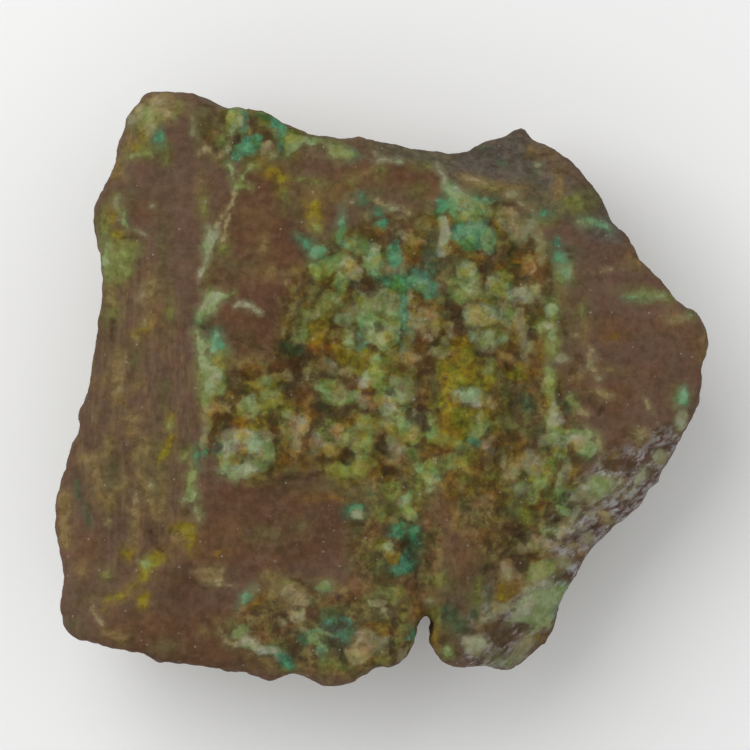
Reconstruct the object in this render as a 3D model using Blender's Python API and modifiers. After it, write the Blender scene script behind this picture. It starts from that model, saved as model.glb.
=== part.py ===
"""Chrysocolla specimen: one loose, broken piece of brown copper-stained rock.

The stone lies on its flat broken back, with its show face up. The build starts from a slab with
the stone's outline, splits its sides along fracture planes, carves the show face from named
ledges, ridges, hollows and pits, and then thins the faces that a flat surface does not need.
All driving sizes are in millimetres and the mesh is in metres.
"""

import math

import bmesh
import bpy
from mathutils import Vector, noise

MM = 0.001

# Driving dimensions, in mm.
FACE_HEIGHT = 35.0        # flat back to the middle of the show face
VOXEL = 0.85              # grain of the carved surface before it is thinned
SKIN_LOSS = 0.17          # what the carved surface loses at the outline, added beforehand
TRIANGLES = 9000          # about how many triangles are kept
FLAT_BACK = 0.25          # what is lower than this on the back is pressed onto its plane

# Outline of the show face, clockwise from the upper left, in named stretches (x, y in mm).
TOP_LEFT_LUMP = [(-38.9, 40.4), (-37.5, 42.0), (-34.9, 44.7), (-31.9, 44.5), (-28.2, 43.8),
                 (-25.9, 42.6), (-23.7, 41.5), (-21.4, 41.7), (-17.6, 41.1), (-13.9, 38.9),
                 (-10.7, 37.5)]
TOP_EDGE = [(-7.9, 37.2), (-3.1, 37.0), (2.5, 36.1), (8.5, 35.1), (10.3, 34.8), (12.0, 35.1)]
UPPER_LEDGE = [(14.5, 36.6), (19.5, 38.1), (20.8, 38.7), (21.8, 37.8), (24.0, 36.6),
               (25.8, 35.9), (29.7, 32.5), (31.3, 30.0), (33.4, 27.6), (34.4, 23.7)]
RIGHT_EDGE = [(36.8, 22.8), (37.9, 19.6), (41.1, 16.5), (43.0, 14.4), (44.5, 12.0),
              (47.1, 11.4), (48.1, 9.2), (49.2, 7.0), (48.8, 5.5), (47.5, 3.1), (47.9, 1.1),
              (46.5, -4.2), (43.9, -9.2)]
LOWER_RIGHT = [(41.5, -13.5), (39.8, -15.4), (39.8, -16.8), (38.5, -18.3), (35.9, -19.9),
               (31.0, -24.3), (28.8, -28.9), (26.1, -33.4), (25.5, -36.3), (22.8, -39.4),
               (19.8, -42.1), (18.3, -42.6)]
NOTCH = [(15.3, -41.9), (10.0, -41.7), (8.1, -40.3), (7.4, -38.5), (7.2, -37.0), (7.6, -35.9),
         (7.6, -34.2), (6.6, -32.6), (5.5, -34.0), (4.7, -37.0), (3.8, -39.5), (2.2, -41.7)]
BOTTOM_EDGE = [(-0.4, -41.7), (-3.4, -42.9), (-4.6, -44.4), (-7.9, -44.7), (-10.9, -43.8),
               (-12.9, -42.4), (-15.9, -43.8), (-16.9, -44.4), (-18.8, -43.2), (-19.9, -42.6),
               (-28.9, -41.5), (-34.0, -41.1), (-36.0, -39.8), (-42.4, -38.4), (-46.6, -37.2)]
LEFT_EDGE = [(-47.7, -36.1), (-48.6, -32.7), (-48.0, -30.4), (-48.0, -26.2), (-49.4, -21.4),
             (-49.0, -16.9), (-46.9, -9.4), (-45.1, -6.5), (-45.9, -3.9), (-44.4, -1.3),
             (-44.1, 0.8), (-42.3, 11.2), (-41.9, 16.8), (-43.4, 26.2), (-41.4, 30.6),
             (-39.8, 34.6), (-39.0, 37.8)]
OUTLINE = (TOP_LEFT_LUMP + TOP_EDGE + UPPER_LEDGE + RIGHT_EDGE + LOWER_RIGHT + NOTCH
           + BOTTOM_EDGE + LEFT_EDGE)

# Fracture planes that undercut the sides: (direction that the side faces in degrees,
# height where the plane leaves the outline in mm, lean back under the stone in degrees).
UNDERCUTS = [
    (178, 29, 9), (186, 20, 18), (204, 16, 27), (150, 25, 17),
    (112, 27, 9), (102, 18, 20), (84, 12, 29), (62, 20, 20),
    (38, 17, 23), (16, 29, 9), (5, 20, 19), (-9, 15, 28),
    (-38, 28, 8), (-45, 19, 18), (-59, 13, 26),
    (-88, 29, 7), (-94, 20, 16), (-104, 13, 26), (-128, 22, 18),
]

# Fracture planes that bevel the upper rim: (direction in degrees, how far inside the
# outline's reach the bevel starts on the show face in mm, slope below the horizontal in degrees).
RIM_BEVELS = [
    (176, 4.5, 34), (203, 2.6, 40), (135, 5.5, 42), (96, 4.4, 52),
    (20, 3.4, 37), (-42, 6.0, 33), (-80, 3.2, 43), (-100, 3.0, 40),
]

# Fracture planes that break the rim of the back: (direction in degrees, how far inside the
# outline's reach the flat ends in mm, slope above the horizontal in degrees).
BACK_BEVELS = [
    (174, 18, 12), (214, 17, 19), (258, 14, 11), (292, 17, 20),
    (338, 19, 13), (24, 20, 17), (71, 15, 12), (118, 17, 22),
]
NOTCH_MIDDLE = (6.2, -36.6)  # its walls stay plain, so that it goes through from face to back

# Scooped fractures in the sides: centre (x, y, z) and radii (x, y, z), in mm.
SCOOPS = [
    (6.3, -45.5, 6.0, 12.0, 9.5, 19.0), (-57.0, -6.0, 9.0, 12.0, 21.0, 13.0),
    (-12.0, 51.0, 8.0, 21.0, 14.0, 14.0), (54.0, -10.0, 7.0, 13.0, 13.0, 12.0),
    (40.0, -34.0, 5.0, 13.0, 13.0, 12.0), (33.0, 41.0, 6.0, 14.0, 13.0, 12.0),
    (-34.0, -50.0, 7.0, 17.0, 12.0, 12.0),
]

# Lines and places on the show face, in mm.
VEIN_RIDGE = [(-18.0, 50.0), (-20.5, 36.0), (-22.2, 28.0), (-25.2, 16.0), (-27.0, 9.3), (-26.7, 1.0),
              (-25.7, -8.0), (-27.5, -17.0), (-29.0, -21.5), (-35.0, -30.5), (-43.0, -34.0)]
LEDGE_RIM = [(-3.0, 35.4), (8.5, 32.2), (17.5, 29.8), (23.5, 27.6), (28.0, 25.9), (36.0, 23.0)]
CENTRE_RIDGE = [(9.0, 31.0), (8.8, 20.0), (9.4, 8.0), (8.2, -4.0), (8.6, -16.0), (7.6, -24.0)]
TROUGH = [(20.0, 22.0), (20.6, 10.0), (21.2, -2.0), (19.5, -14.0), (17.6, -26.0)]
RIGHT_PLANE_EDGE = [(26.5, 24.0), (28.5, 14.0), (27.8, 4.0), (31.0, -4.0), (40.0, -9.5)]
BAND_TOP = [(6.6, -46.0), (6.5, -36.0), (8.6, -31.5), (14.0, -26.0), (24.0, -16.0), (33.0, -8.0), (44.0, -4.0)]
NOTCH_CLEFT = [(6.4, -34.5), (6.0, -29.5), (4.6, -24.0)]
BLOCK_CREVICES = [
    [(-27.0, 9.4), (-23.6, 7.8), (-19.4, 6.0)],
    [(-13.0, 5.0), (-11.4, 1.8)],
    [(-34.2, -21.6), (-31.8, -24.8)],
    [(40.0, -9.6), (43.9, -8.7)],
]
LOWER_STEP = [(-30.0, -27.0), (-27.4, -28.6), (-23.5, -30.6), (-18.0, -32.4), (-11.5, -29.5)]
# Pits: (x, y, radius, depth).
PITS = [
    (-5.4, -10.6, 1.7, 1.5), (0.9, -12.3, 1.5, 1.5), (10.8, 11.0, 1.6, 1.6),
    (14.8, 7.8, 1.5, 1.0), (-20.4, -11.2, 1.6, 1.2), (-12.6, 7.0, 2.0, 1.3),
    (-2.5, 3.5, 1.8, 1.2), (20.9, -26.7, 1.5, 1.3), (3.4, -21.0, 1.6, 0.9),
    (13.5, -17.2, 1.6, 0.9), (27.4, -10.6, 1.5, 0.9), (5.6, 24.0, 1.7, 0.9),
]
# Lumps: (x, y, radius along x, radius along y, height).
LUMPS = [
    (-33.5, 39.0, 5.5, 5.0, 1.8), (-20.5, -9.8, 5.0, 4.6, 1.3), (-4.8, -9.5, 4.6, 5.6, 1.2),
    (-1.2, 10.0, 3.4, 4.8, 1.0), (2.4, -3.0, 4.4, 4.6, 0.9), (11.8, -4.5, 4.2, 5.0, 1.3),
    (14.0, 9.6, 3.6, 4.0, 1.2), (13.6, 26.2, 4.4, 4.6, 1.1), (21.5, 21.6, 4.0, 4.4, 0.9),
    (12.8, 18.2, 3.8, 3.6, 0.9), (46.0, 11.0, 3.0, 2.6, 1.5), (47.6, 6.6, 2.6, 3.0, 1.3),
    (-13.2, -32.6, 3.4, 3.8, 1.3), (-2.0, -38.2, 4.6, 4.0, 1.4), (21.5, -31.4, 3.8, 3.6, 1.2),
    (23.4, -34.6, 3.6, 3.2, 1.0), (14.6, -38.4, 3.8, 3.2, 1.1), (33.0, -15.2, 4.6, 3.2, 1.1),
    (26.5, 3.0, 2.4, 7.0, 0.9), (-6.6, 18.6, 3.6, 3.0, 0.8), (-40.5, 24.0, 2.8, 6.0, 0.9),
    (-42.5, -15.0, 3.4, 7.0, 0.9), (3.0, -25.0, 2.8, 5.4, 0.9), (29.0, 30.0, 3.4, 3.2, 1.0),
]


def smooth_step(low, high, value):
    """Return 0 below low, 1 above high and a smooth run between them."""
    share = min(max((value - low) / (high - low), 0.0), 1.0)
    return share * share * (3.0 - 2.0 * share)


def path_distance(x, y, path):
    """Return the distance to a path and which side of it the point is on (+1 is its left)."""
    best = (1e9, 1.0)
    for (ax, ay), (bx, by) in zip(path, path[1:]):
        run_x, run_y = bx - ax, by - ay
        share = ((x - ax) * run_x + (y - ay) * run_y) / (run_x * run_x + run_y * run_y)
        share = min(max(share, 0.0), 1.0)
        gap = math.hypot(x - ax - share * run_x, y - ay - share * run_y)
        if gap < best[0]:
            turn = run_x * (y - ay) - run_y * (x - ax)
            best = (gap, 1.0 if turn > 0.0 else -1.0)
    return best


def side_of(x, y, path):
    """Return the signed distance to a path: positive on its left, negative on its right."""
    gap, side = path_distance(x, y, path)
    return gap * side


def cloud(x, y, z, size, seed):
    """Return smooth noise between about -1 and 1 whose lumps are about size mm across."""
    return noise.noise(Vector((x, y, z)) / size + Vector((seed * 7.3, seed * 3.1, seed * 5.7)))


def shards(x, y, z, size, seed):
    """Return flat, tilted splinter facets about size mm across, stepped where they meet."""
    place = Vector((x, y, z)) / size + Vector((seed * 3.7, seed * 8.9, seed * 5.1))
    gaps, seeds = noise.voronoi(place)
    tilt = noise.noise_vector(seeds[0] * 9.7)
    blend = smooth_step(0.0, 0.16, gaps[1] - gaps[0])
    other = noise.noise_vector(seeds[1] * 9.7)
    own = (place - seeds[0]).dot(tilt) + 0.35 * tilt.x
    next_own = (place - seeds[1]).dot(other) + 0.35 * other.x
    return own * (0.5 + 0.5 * blend) + next_own * (0.5 - 0.5 * blend)


def left_strip(x, y):
    """Return the drop of the striated strip to the left of the vein ridge."""
    inside = -side_of(x, y, VEIN_RIDGE)
    drop = 1.0 * smooth_step(0.0, 1.8, inside)
    drop += 0.17 * max(inside - 1.0, 0.0)
    grooves = 0.35 * cloud(x, y * 0.12, 0.0, 2.6, 1) * smooth_step(1.0, 4.0, inside)
    return drop - grooves


def raised_block(x, y):
    """Return the rise of the smooth brown block right of the vein ridge."""
    across = smooth_step(-26.5, -23.5, x) * (1.0 - smooth_step(-9.5, -6.0, x))
    along = smooth_step(-1.5, 2.5, y) * (1.0 - smooth_step(28.5, 32.5, y))
    return 1.5 * across * along


def upper_ledge(x, y):
    """Return the drop beyond the rim at the upper right, a step and then a steep slope."""
    beyond = side_of(x, y, LEDGE_RIM)
    east = smooth_step(-6.0, 9.0, x)
    step = 2.6 * smooth_step(0.2, 1.7, beyond) + 0.80 * max(beyond - 1.2, 0.0)
    floor = 1.8 * smooth_step(22.5, 26.5, x) * smooth_step(1.0, 3.0, beyond)
    return east * (step - floor)


def right_side(x, y):
    """Return the drop right of the centre ridge: the trough and the smooth right plane."""
    lean = min(0.10 * max(side_of(x, y, CENTRE_RIDGE), 0.0), 3.4)
    hollow, _ = path_distance(x, y, TROUGH)
    trough = 1.3 * math.exp(-(hollow / 3.4) ** 2)
    plane = smooth_step(-0.5, 2.5, side_of(x, y, RIGHT_PLANE_EDGE))
    return lean + trough - 0.9 * plane


def lower_band(x, y):
    """Return the drop of the speckled band that slopes away to the lower right edge."""
    beyond = -side_of(x, y, BAND_TOP)
    return 0.30 * max(beyond, 0.0) + 0.9 * smooth_step(0.0, 2.5, beyond)


def crumbled_centre(x, y):
    """Return the crumbly relief of the mineral-rich middle."""
    patch = math.exp(-((x - 2.0) / 17.0) ** 4 - ((y - 2.0) / 24.0) ** 4)
    return patch * (1.15 * cloud(x, y, 0.0, 4.6, 2) + 0.75 * cloud(x, y, 0.0, 2.7, 3) - 0.4)


def cracks_and_pits(x, y):
    """Return the depth of the crevices, the cleft above the notch and the pits."""
    depth = 0.0
    for crevice in BLOCK_CREVICES:
        gap, _ = path_distance(x, y, crevice)
        depth += 1.5 * math.exp(-(gap / 1.0) ** 2)
    gap, _ = path_distance(x, y, NOTCH_CLEFT)
    depth += 2.4 * math.exp(-(gap / 1.8) ** 2)
    for pit_x, pit_y, radius, pit_depth in PITS:
        gap = math.hypot(x - pit_x, y - pit_y)
        depth += pit_depth * math.exp(-(gap / radius) ** 2)
    return depth


def lumps(x, y):
    """Return the rise of the rounded lumps of blue-green mineral and of the edge knobs."""
    rise = 0.0
    for lump_x, lump_y, wide, tall, height in LUMPS:
        gap = ((x - lump_x) / wide) ** 2 + ((y - lump_y) / tall) ** 2
        rise += height * math.exp(-gap ** 2)
    return rise


def lower_left(x, y):
    """Return the drop below the step that crosses the lower left face."""
    below = smooth_step(0.0, 1.4, -side_of(x, y, LOWER_STEP))
    reach = smooth_step(-33.0, -28.0, x) * (1.0 - smooth_step(-14.0, -9.0, x))
    return 1.3 * below * reach * (1.0 - smooth_step(-30.0, -24.0, y))


def face_height(x, y):
    """Return the height of the show face above the flat back at a point, all in mm."""
    height = FACE_HEIGHT
    height -= left_strip(x, y)
    height += raised_block(x, y)
    height -= upper_ledge(x, y)
    height -= right_side(x, y)
    height -= lower_band(x, y)
    height += crumbled_centre(x, y)
    height -= cracks_and_pits(x, y)
    height += lumps(x, y)
    height -= lower_left(x, y)
    height += 0.9 * cloud(x, y, 0.0, 17.0, 4) + 0.45 * cloud(x, y, 0.0, 6.0, 5)
    return height


def new_collection(name):
    """Return a new collection in the scene."""
    collection = bpy.data.collections.new(name)
    bpy.context.scene.collection.children.link(collection)
    return collection


def grown_outline():
    """Return the outline moved outwards by what the carved surface will lose."""
    grown = []
    for index, (x, y) in enumerate(OUTLINE):
        before = OUTLINE[index - 1]
        after = OUTLINE[(index + 1) % len(OUTLINE)]
        run = Vector((after[0] - before[0], after[1] - before[1])).normalized()
        grown.append((x - run.y * SKIN_LOSS, y + run.x * SKIN_LOSS))
    return grown


def outline_slab():
    """Return a closed slab mesh with the stone's outline, its back at z = 0."""
    curve = bpy.data.curves.new("outline", "CURVE")
    curve.dimensions = "2D"
    curve.fill_mode = "BOTH"
    curve.extrude = FACE_HEIGHT * MM / 2.0
    spline = curve.splines.new("POLY")
    spline.points.add(len(OUTLINE) - 1)
    for point, (x, y) in zip(spline.points, grown_outline()):
        point.co = (x * MM, y * MM, 0.0, 1.0)
    spline.use_cyclic_u = True
    guide = bpy.data.objects.new("outline", curve)
    bpy.context.scene.collection.objects.link(guide)
    graph = bpy.context.evaluated_depsgraph_get()
    mesh = bpy.data.meshes.new_from_object(guide.evaluated_get(graph))
    bpy.data.objects.remove(guide)
    bpy.data.curves.remove(curve)
    form = bmesh.new()
    form.from_mesh(mesh)
    bmesh.ops.translate(form, verts=form.verts, vec=(0.0, 0.0, FACE_HEIGHT * MM / 2.0))
    bmesh.ops.remove_doubles(form, verts=form.verts, dist=0.01 * MM)
    bmesh.ops.recalc_face_normals(form, faces=form.faces)
    form.to_mesh(mesh)
    form.free()
    return mesh


def split_off(form, point, normal):
    """Cut away what lies on the normal's side of a plane and close the cut."""
    geometry = form.verts[:] + form.edges[:] + form.faces[:]
    bmesh.ops.bisect_plane(form, geom=geometry, plane_co=point, plane_no=normal,
                           clear_outer=True, dist=0.001 * MM)
    open_edges = [edge for edge in form.edges if edge.is_boundary]
    if open_edges:
        bmesh.ops.holes_fill(form, edges=open_edges, sides=0)


def facing_at(angle):
    """Return the level unit vector at an angle in degrees, measured from +X."""
    return Vector((math.cos(math.radians(angle)), math.sin(math.radians(angle)), 0.0))


def outline_reach(direction):
    """Return how far the outline reaches in a direction, in mm."""
    return max(x * direction.x + y * direction.y for x, y in OUTLINE)


def split_sides(mesh):
    """Split the slab's sides along the fracture planes."""
    form = bmesh.new()
    form.from_mesh(mesh)
    for angle, height, lean in UNDERCUTS:
        facing = facing_at(angle)
        point = facing * outline_reach(facing) * MM
        point.z = height * MM
        normal = facing * math.cos(math.radians(lean))
        normal.z = -math.sin(math.radians(lean))
        split_off(form, point, normal)
    for bevels, level, up in ((RIM_BEVELS, FACE_HEIGHT, 1.0), (BACK_BEVELS, 0.0, -1.0)):
        for angle, inset, slope in bevels:
            facing = facing_at(angle)
            point = facing * (outline_reach(facing) - inset) * MM
            point.z = level * MM
            normal = facing * math.sin(math.radians(slope))
            normal.z = up * math.cos(math.radians(slope))
            split_off(form, point, normal)
    bmesh.ops.recalc_face_normals(form, faces=form.faces)
    form.to_mesh(mesh)
    form.free()


def apply_modifier(stone, name):
    """Replace the stone's mesh by the mesh that its modifiers give."""
    graph = bpy.context.evaluated_depsgraph_get()
    made = bpy.data.meshes.new_from_object(stone.evaluated_get(graph))
    old = stone.data
    stone.modifiers.clear()
    stone.data = made
    made.name = name
    bpy.data.meshes.remove(old)


def scoop_sides(stone):
    """Take the scooped fractures out of the stone's sides."""
    cutters = new_collection("cutters")
    for index, (x, y, z, wide, deep, tall) in enumerate(SCOOPS):
        form = bmesh.new()
        bmesh.ops.create_uvsphere(form, u_segments=24, v_segments=16, radius=1.0)
        bmesh.ops.scale(form, verts=form.verts, vec=(wide * MM, deep * MM, tall * MM))
        mesh = bpy.data.meshes.new("scoop")
        form.to_mesh(mesh)
        form.free()
        scoop = bpy.data.objects.new(f"scoop_{index}", mesh)
        scoop.location = (x * MM, y * MM, z * MM)
        scoop.hide_render = True
        scoop.display_type = "WIRE"
        cutters.objects.link(scoop)
        cut = stone.modifiers.new(f"scoop_{index}", "BOOLEAN")
        cut.operation = "DIFFERENCE"
        cut.solver = "EXACT"
        cut.object = scoop
    apply_modifier(stone, "scooped")


def grain_surface(stone):
    """Give the split slab an even skin of small faces that can be carved."""
    remesh = stone.modifiers.new("skin", "REMESH")
    remesh.mode = "VOXEL"
    remesh.voxel_size = VOXEL * MM
    remesh.adaptivity = 0.0
    apply_modifier(stone, "skinned")


def side_roughness(x, y, z):
    """Return how far the broken sides stand in or out at a point, in mm."""
    rough = 4.6 * shards(x, y, z * 1.3, 17.0, 6) + 1.5 * shards(x, y, z * 1.2, 7.0, 7)
    rough += 1.3 * cloud(x, y, z, 22.0, 11) + 0.5 * cloud(x, y, z, 3.2, 8)
    beside_notch = smooth_step(2.5, 6.0, math.hypot(x - NOTCH_MIDDLE[0], y - NOTCH_MIDDLE[1]))
    return min(rough - 1.5, 0.3) * beside_notch


def back_relief(x, y, z):
    """Return the height of the back's chips and of its splintered rim, in mm."""
    away = smooth_step(7.0, 13.0, math.hypot(x, y))
    chips = 4.5 * max(cloud(x, y, 0.0, 17.0, 12) - 0.1, 0.0)
    chips += 2.5 * max(shards(x, y, 0.0, 14.0, 13) - 0.15, 0.0)
    rise = chips * away
    rim = smooth_step(0.2, 1.6, z)
    rise += rim * (3.2 * shards(x, y, z, 13.0, 9) + 0.8 * cloud(x, y, z, 5.0, 10))
    return max(rise, 0.4 * rim - z)


def carve(stone):
    """Move the skin's points to the show face's relief and to the rough broken sides."""
    form = bmesh.new()
    form.from_mesh(stone.data)
    form.normal_update()
    for vert in form.verts:
        x, y, z = vert.co / MM
        share = z / FACE_HEIGHT
        lift = (face_height(x, y) - FACE_HEIGHT) * share * share
        lift += back_relief(x, y, z) * (1.0 - smooth_step(0.0, 0.4, share))
        sideways = 1.0 - smooth_step(0.6, 0.95, abs(vert.normal.z))
        depth = smooth_step(-0.02, 0.2, share) * (1.0 - smooth_step(0.68, 0.82, share))
        vert.co += vert.normal * (side_roughness(x, y, z) * sideways * depth * MM)
        vert.co.z += lift * MM
        if vert.co.z < FLAT_BACK * MM:
            vert.co.z = 0.0
    form.to_mesh(stone.data)
    form.free()


def thin_out(stone):
    """Keep about the wanted number of triangles and press the back plane flat."""
    stone.data.calc_loop_triangles()
    thin = stone.modifiers.new("thin", "DECIMATE")
    thin.decimate_type = "COLLAPSE"
    thin.ratio = TRIANGLES / len(stone.data.loop_triangles)
    thin.use_collapse_triangulate = True
    apply_modifier(stone, "thinned")
    form = bmesh.new()
    form.from_mesh(stone.data)
    for vert in form.verts:
        if vert.co.z < 0.05 * MM:
            vert.co.z = 0.0
    bmesh.ops.dissolve_degenerate(form, edges=form.edges, dist=0.02 * MM)
    low = Vector([min(vert.co[axis] for vert in form.verts) for axis in range(3)])
    high = Vector([max(vert.co[axis] for vert in form.verts) for axis in range(3)])
    middle = (low + high) / 2.0
    bmesh.ops.translate(form, verts=form.verts, vec=(-middle.x, -middle.y, -low.z))
    bmesh.ops.triangulate(form, faces=form.faces)
    bmesh.ops.recalc_face_normals(form, faces=form.faces)
    form.to_mesh(stone.data)
    form.free()


def rock_material():
    """Return the dull brown of the rock."""
    material = bpy.data.materials.new("brown_rock")
    material.use_nodes = True
    shader = material.node_tree.nodes["Principled BSDF"]
    shader.inputs["Base Color"].default_value = (0.115, 0.066, 0.041, 1.0)
    shader.inputs["Roughness"].default_value = 0.72
    shader.inputs["Metallic"].default_value = 0.0
    return material


def build():
    """Make the stone."""
    for thing in list(bpy.data.objects):
        bpy.data.objects.remove(thing)
    home = new_collection("chrysocolla_specimen")
    mesh = outline_slab()
    split_sides(mesh)
    stone = bpy.data.objects.new("chrysocolla_rock", mesh)
    home.objects.link(stone)
    scoop_sides(stone)
    grain_surface(stone)
    carve(stone)
    thin_out(stone)
    stone.data.materials.clear()
    stone.data.materials.append(rock_material())
    for polygon in stone.data.polygons:
        polygon.use_smooth = False


build()
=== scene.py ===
"""Looks of the chrysocolla specimen: a fine stone mesh over the solid, its minerals and a plain studio.

The stone's surface is worked from the solid of the frame. Every mineral is a signed field on the
points of that surface, in mm: positive inside its patches and seams, negative outside. The material
turns each field into a ragged edge. All sizes in the tables are in mm unless a name says otherwise.
"""

import logging
import math
from dataclasses import dataclass, field
from enum import Enum

import bpy
import numpy as np
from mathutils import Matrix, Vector, noise


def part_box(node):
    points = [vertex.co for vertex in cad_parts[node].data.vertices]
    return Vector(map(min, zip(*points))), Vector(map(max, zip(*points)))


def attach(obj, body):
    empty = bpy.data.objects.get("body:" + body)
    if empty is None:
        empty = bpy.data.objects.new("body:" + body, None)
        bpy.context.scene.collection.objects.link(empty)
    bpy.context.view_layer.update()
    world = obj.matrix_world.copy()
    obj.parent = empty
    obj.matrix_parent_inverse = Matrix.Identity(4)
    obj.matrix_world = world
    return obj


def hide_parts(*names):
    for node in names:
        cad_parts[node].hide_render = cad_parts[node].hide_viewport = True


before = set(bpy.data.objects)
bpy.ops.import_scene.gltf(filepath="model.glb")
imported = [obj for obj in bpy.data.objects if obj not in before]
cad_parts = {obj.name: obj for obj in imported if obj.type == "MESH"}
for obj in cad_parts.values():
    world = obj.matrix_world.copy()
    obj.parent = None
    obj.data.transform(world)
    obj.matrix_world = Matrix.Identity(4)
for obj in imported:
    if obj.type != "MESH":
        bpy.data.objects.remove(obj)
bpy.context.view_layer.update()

MM = 0.001
FLAT = 0.05  # points lower than this, in mm, lie on the flat underside
SOLID_NODE = "chrysocolla_rock"
log = logging.getLogger("chrysocolla")

Socket = bpy.types.NodeSocket
Pair = tuple[float, float]
Triple = tuple[float, float, float]


class Mineral(Enum):
    """The minerals and stains that colour the stone, with the names of their depths on its points."""

    OLIVE = "olive_stain"
    RUST = "rust_stain"
    OCHRE = "ochre"
    UMBER = "umber_stain"
    TAN = "tan_stain"
    DEEP = "deep_green"
    MUSTARD = "mustard"
    MOSS = "moss_green"
    QUARTZ = "grey_quartz"
    CREAM = "cream_feldspar"
    AQUA = "aqua_crust"
    TEAL = "teal_chrysocolla"
    MINT = "mint_chrysocolla"
    LIME = "lime_chrysocolla"
    CHALK = "chalky_white"
    # Dark pits and crevice lines: their dark brown fill is partly painted shade where they lie in shadow.
    DARK = "dark_pit"


(OLIVE, RUST, OCHRE, UMBER, TAN, DEEP, MUSTARD, MOSS,
 QUARTZ, CREAM, AQUA, TEAL, MINT, LIME, CHALK, DARK) = Mineral


class Zone(Enum):
    """Wide areas of the rock whose ground is mottled in its own way."""

    RED = "reddish_rock"
    RICH = "crumbly_centre"
    STREAKY = "striated_strip"
    SPECKLED = "speckled_band"
    LEDGE = "shaded_ledge"


@dataclass(frozen=True)
class Growth:
    """What one mineral or zone fills in one area of the show face.

    A blob is (x, y, radius along, radius across), with its turn in degrees after them if it has
    one. A seam is its half width and the points that it runs through, and a plate is the points of
    its outline. A seam thinner than the edge noise may have a half width below zero: it comes and goes.
    """

    kind: Enum
    blobs: tuple[tuple[float, ...], ...] = ()
    seams: tuple[tuple, ...] = ()
    plates: tuple[tuple, ...] = ()


ZONES = (
    Growth(Zone.RED, ((-18, 18, 8, 17), (-14, 8, 9, 8), (-16, -20, 12, 8), (-30, -20, 5, 14), (4, 31, 9, 3),
        (-26, -38, 16, 5), (14, -21, 4, 7))),
    Growth(Zone.RICH, ((3, 4, 19, 22), (12, 14, 14, 14), (-18, -5, 9, 9), (20, -12, 10, 16), (2, -24, 7, 10),
        (-8, -36.5, 15, 7), (-19, 38, 8, 4, -10))),
    Growth(Zone.STREAKY, ((-37.5, -3, 11, 27, 6), (12, -26, 8, 12), (20, -4, 6, 26))),
    Growth(Zone.SPECKLED, seams=((5.2, (17, -38), (25, -27), (33, -18), (41, -11.5)),)),
    # The ledge along the top edge: its ground is darker, partly its own colour and partly painted shade.
    Growth(Zone.LEDGE, seams=((4.6, (3, 38.5), (12, 36), (20, 34.5), (28, 30.5), (34, 26)),)),
)

TOP_LEFT_CORNER = (
    Growth(OLIVE, ((-36.6, 38.2, 1.2, 1.6), (-33.4, 36, 1.6, 1.6)),
        plates=(((-27.8, 42.3), (-23, 41.6), (-17.7, 41.2), (-12.5, 38.2), (-12.5, 34.8), (-17.7, 33.7),
        (-23, 33.3), (-26.3, 33.7), (-28.2, 35.6)),)),
    Growth(TAN, ((-31.5, 42.6, 2.2, 0.9, -20), (-37.4, 36.6, 1, 1.6)),
        seams=((0.4, (-25.6, 37.2), (-24.2, 38.4)),),
        plates=(((-34.9, 44.5), (-32.3, 44.5), (-30.5, 43), (-30.8, 41.9), (-32.3, 40), (-34.6, 38.5),
        (-35.9, 37.4), (-36.4, 38.9), (-36.8, 41.9), (-35.9, 43.2)),)),
    Growth(MOSS, ((-33.6, 40.9, 1.2, 1.1), (-36.4, 35.4, 1.8, 0.7, 10)),
        seams=((0.4, (-31.8, 40.6), (-30.2, 42.4)), (0.4, (-32.5, 36.2), (-32.5, 33.8))),
        plates=(((-36.4, 42.3), (-34.9, 41.9), (-34.6, 39.3), (-36.1, 37.6), (-38.3, 39.6),
        (-37.9, 41.2)),)),
    Growth(MUSTARD, ((-35.3, 37.3, 0.6, 1.1), (-37, 36, 0.8, 0.5))),
    Growth(LIME, ((-35.3, 40.9, 0.9, 1.4),), seams=((0.35, (-38.2, 34.4), (-36.6, 34.7), (-34.9, 35.1)),)),
    Growth(QUARTZ, ((-37.8, 40.4, 0.9, 0.7, 20), (-33.8, 42.6, 0.7, 0.5))),
    Growth(TEAL, ((-33.6, 37.4, 0.7, 1.1),)),
    Growth(CREAM, ((-34, 43.2, 1.2, 0.7, 20), (-36.2, 41.6, 0.9, 1.1), (-33.2, 41.2, 1.2, 0.6, -20),
        (-34.8, 38.9, 0.7, 1))),
    Growth(DARK, seams=((0.15, (-36.4, 43), (-35.4, 42.6)), (0.2, (-29.6, 43.2), (-25.2, 41.9)))),
)

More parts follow.
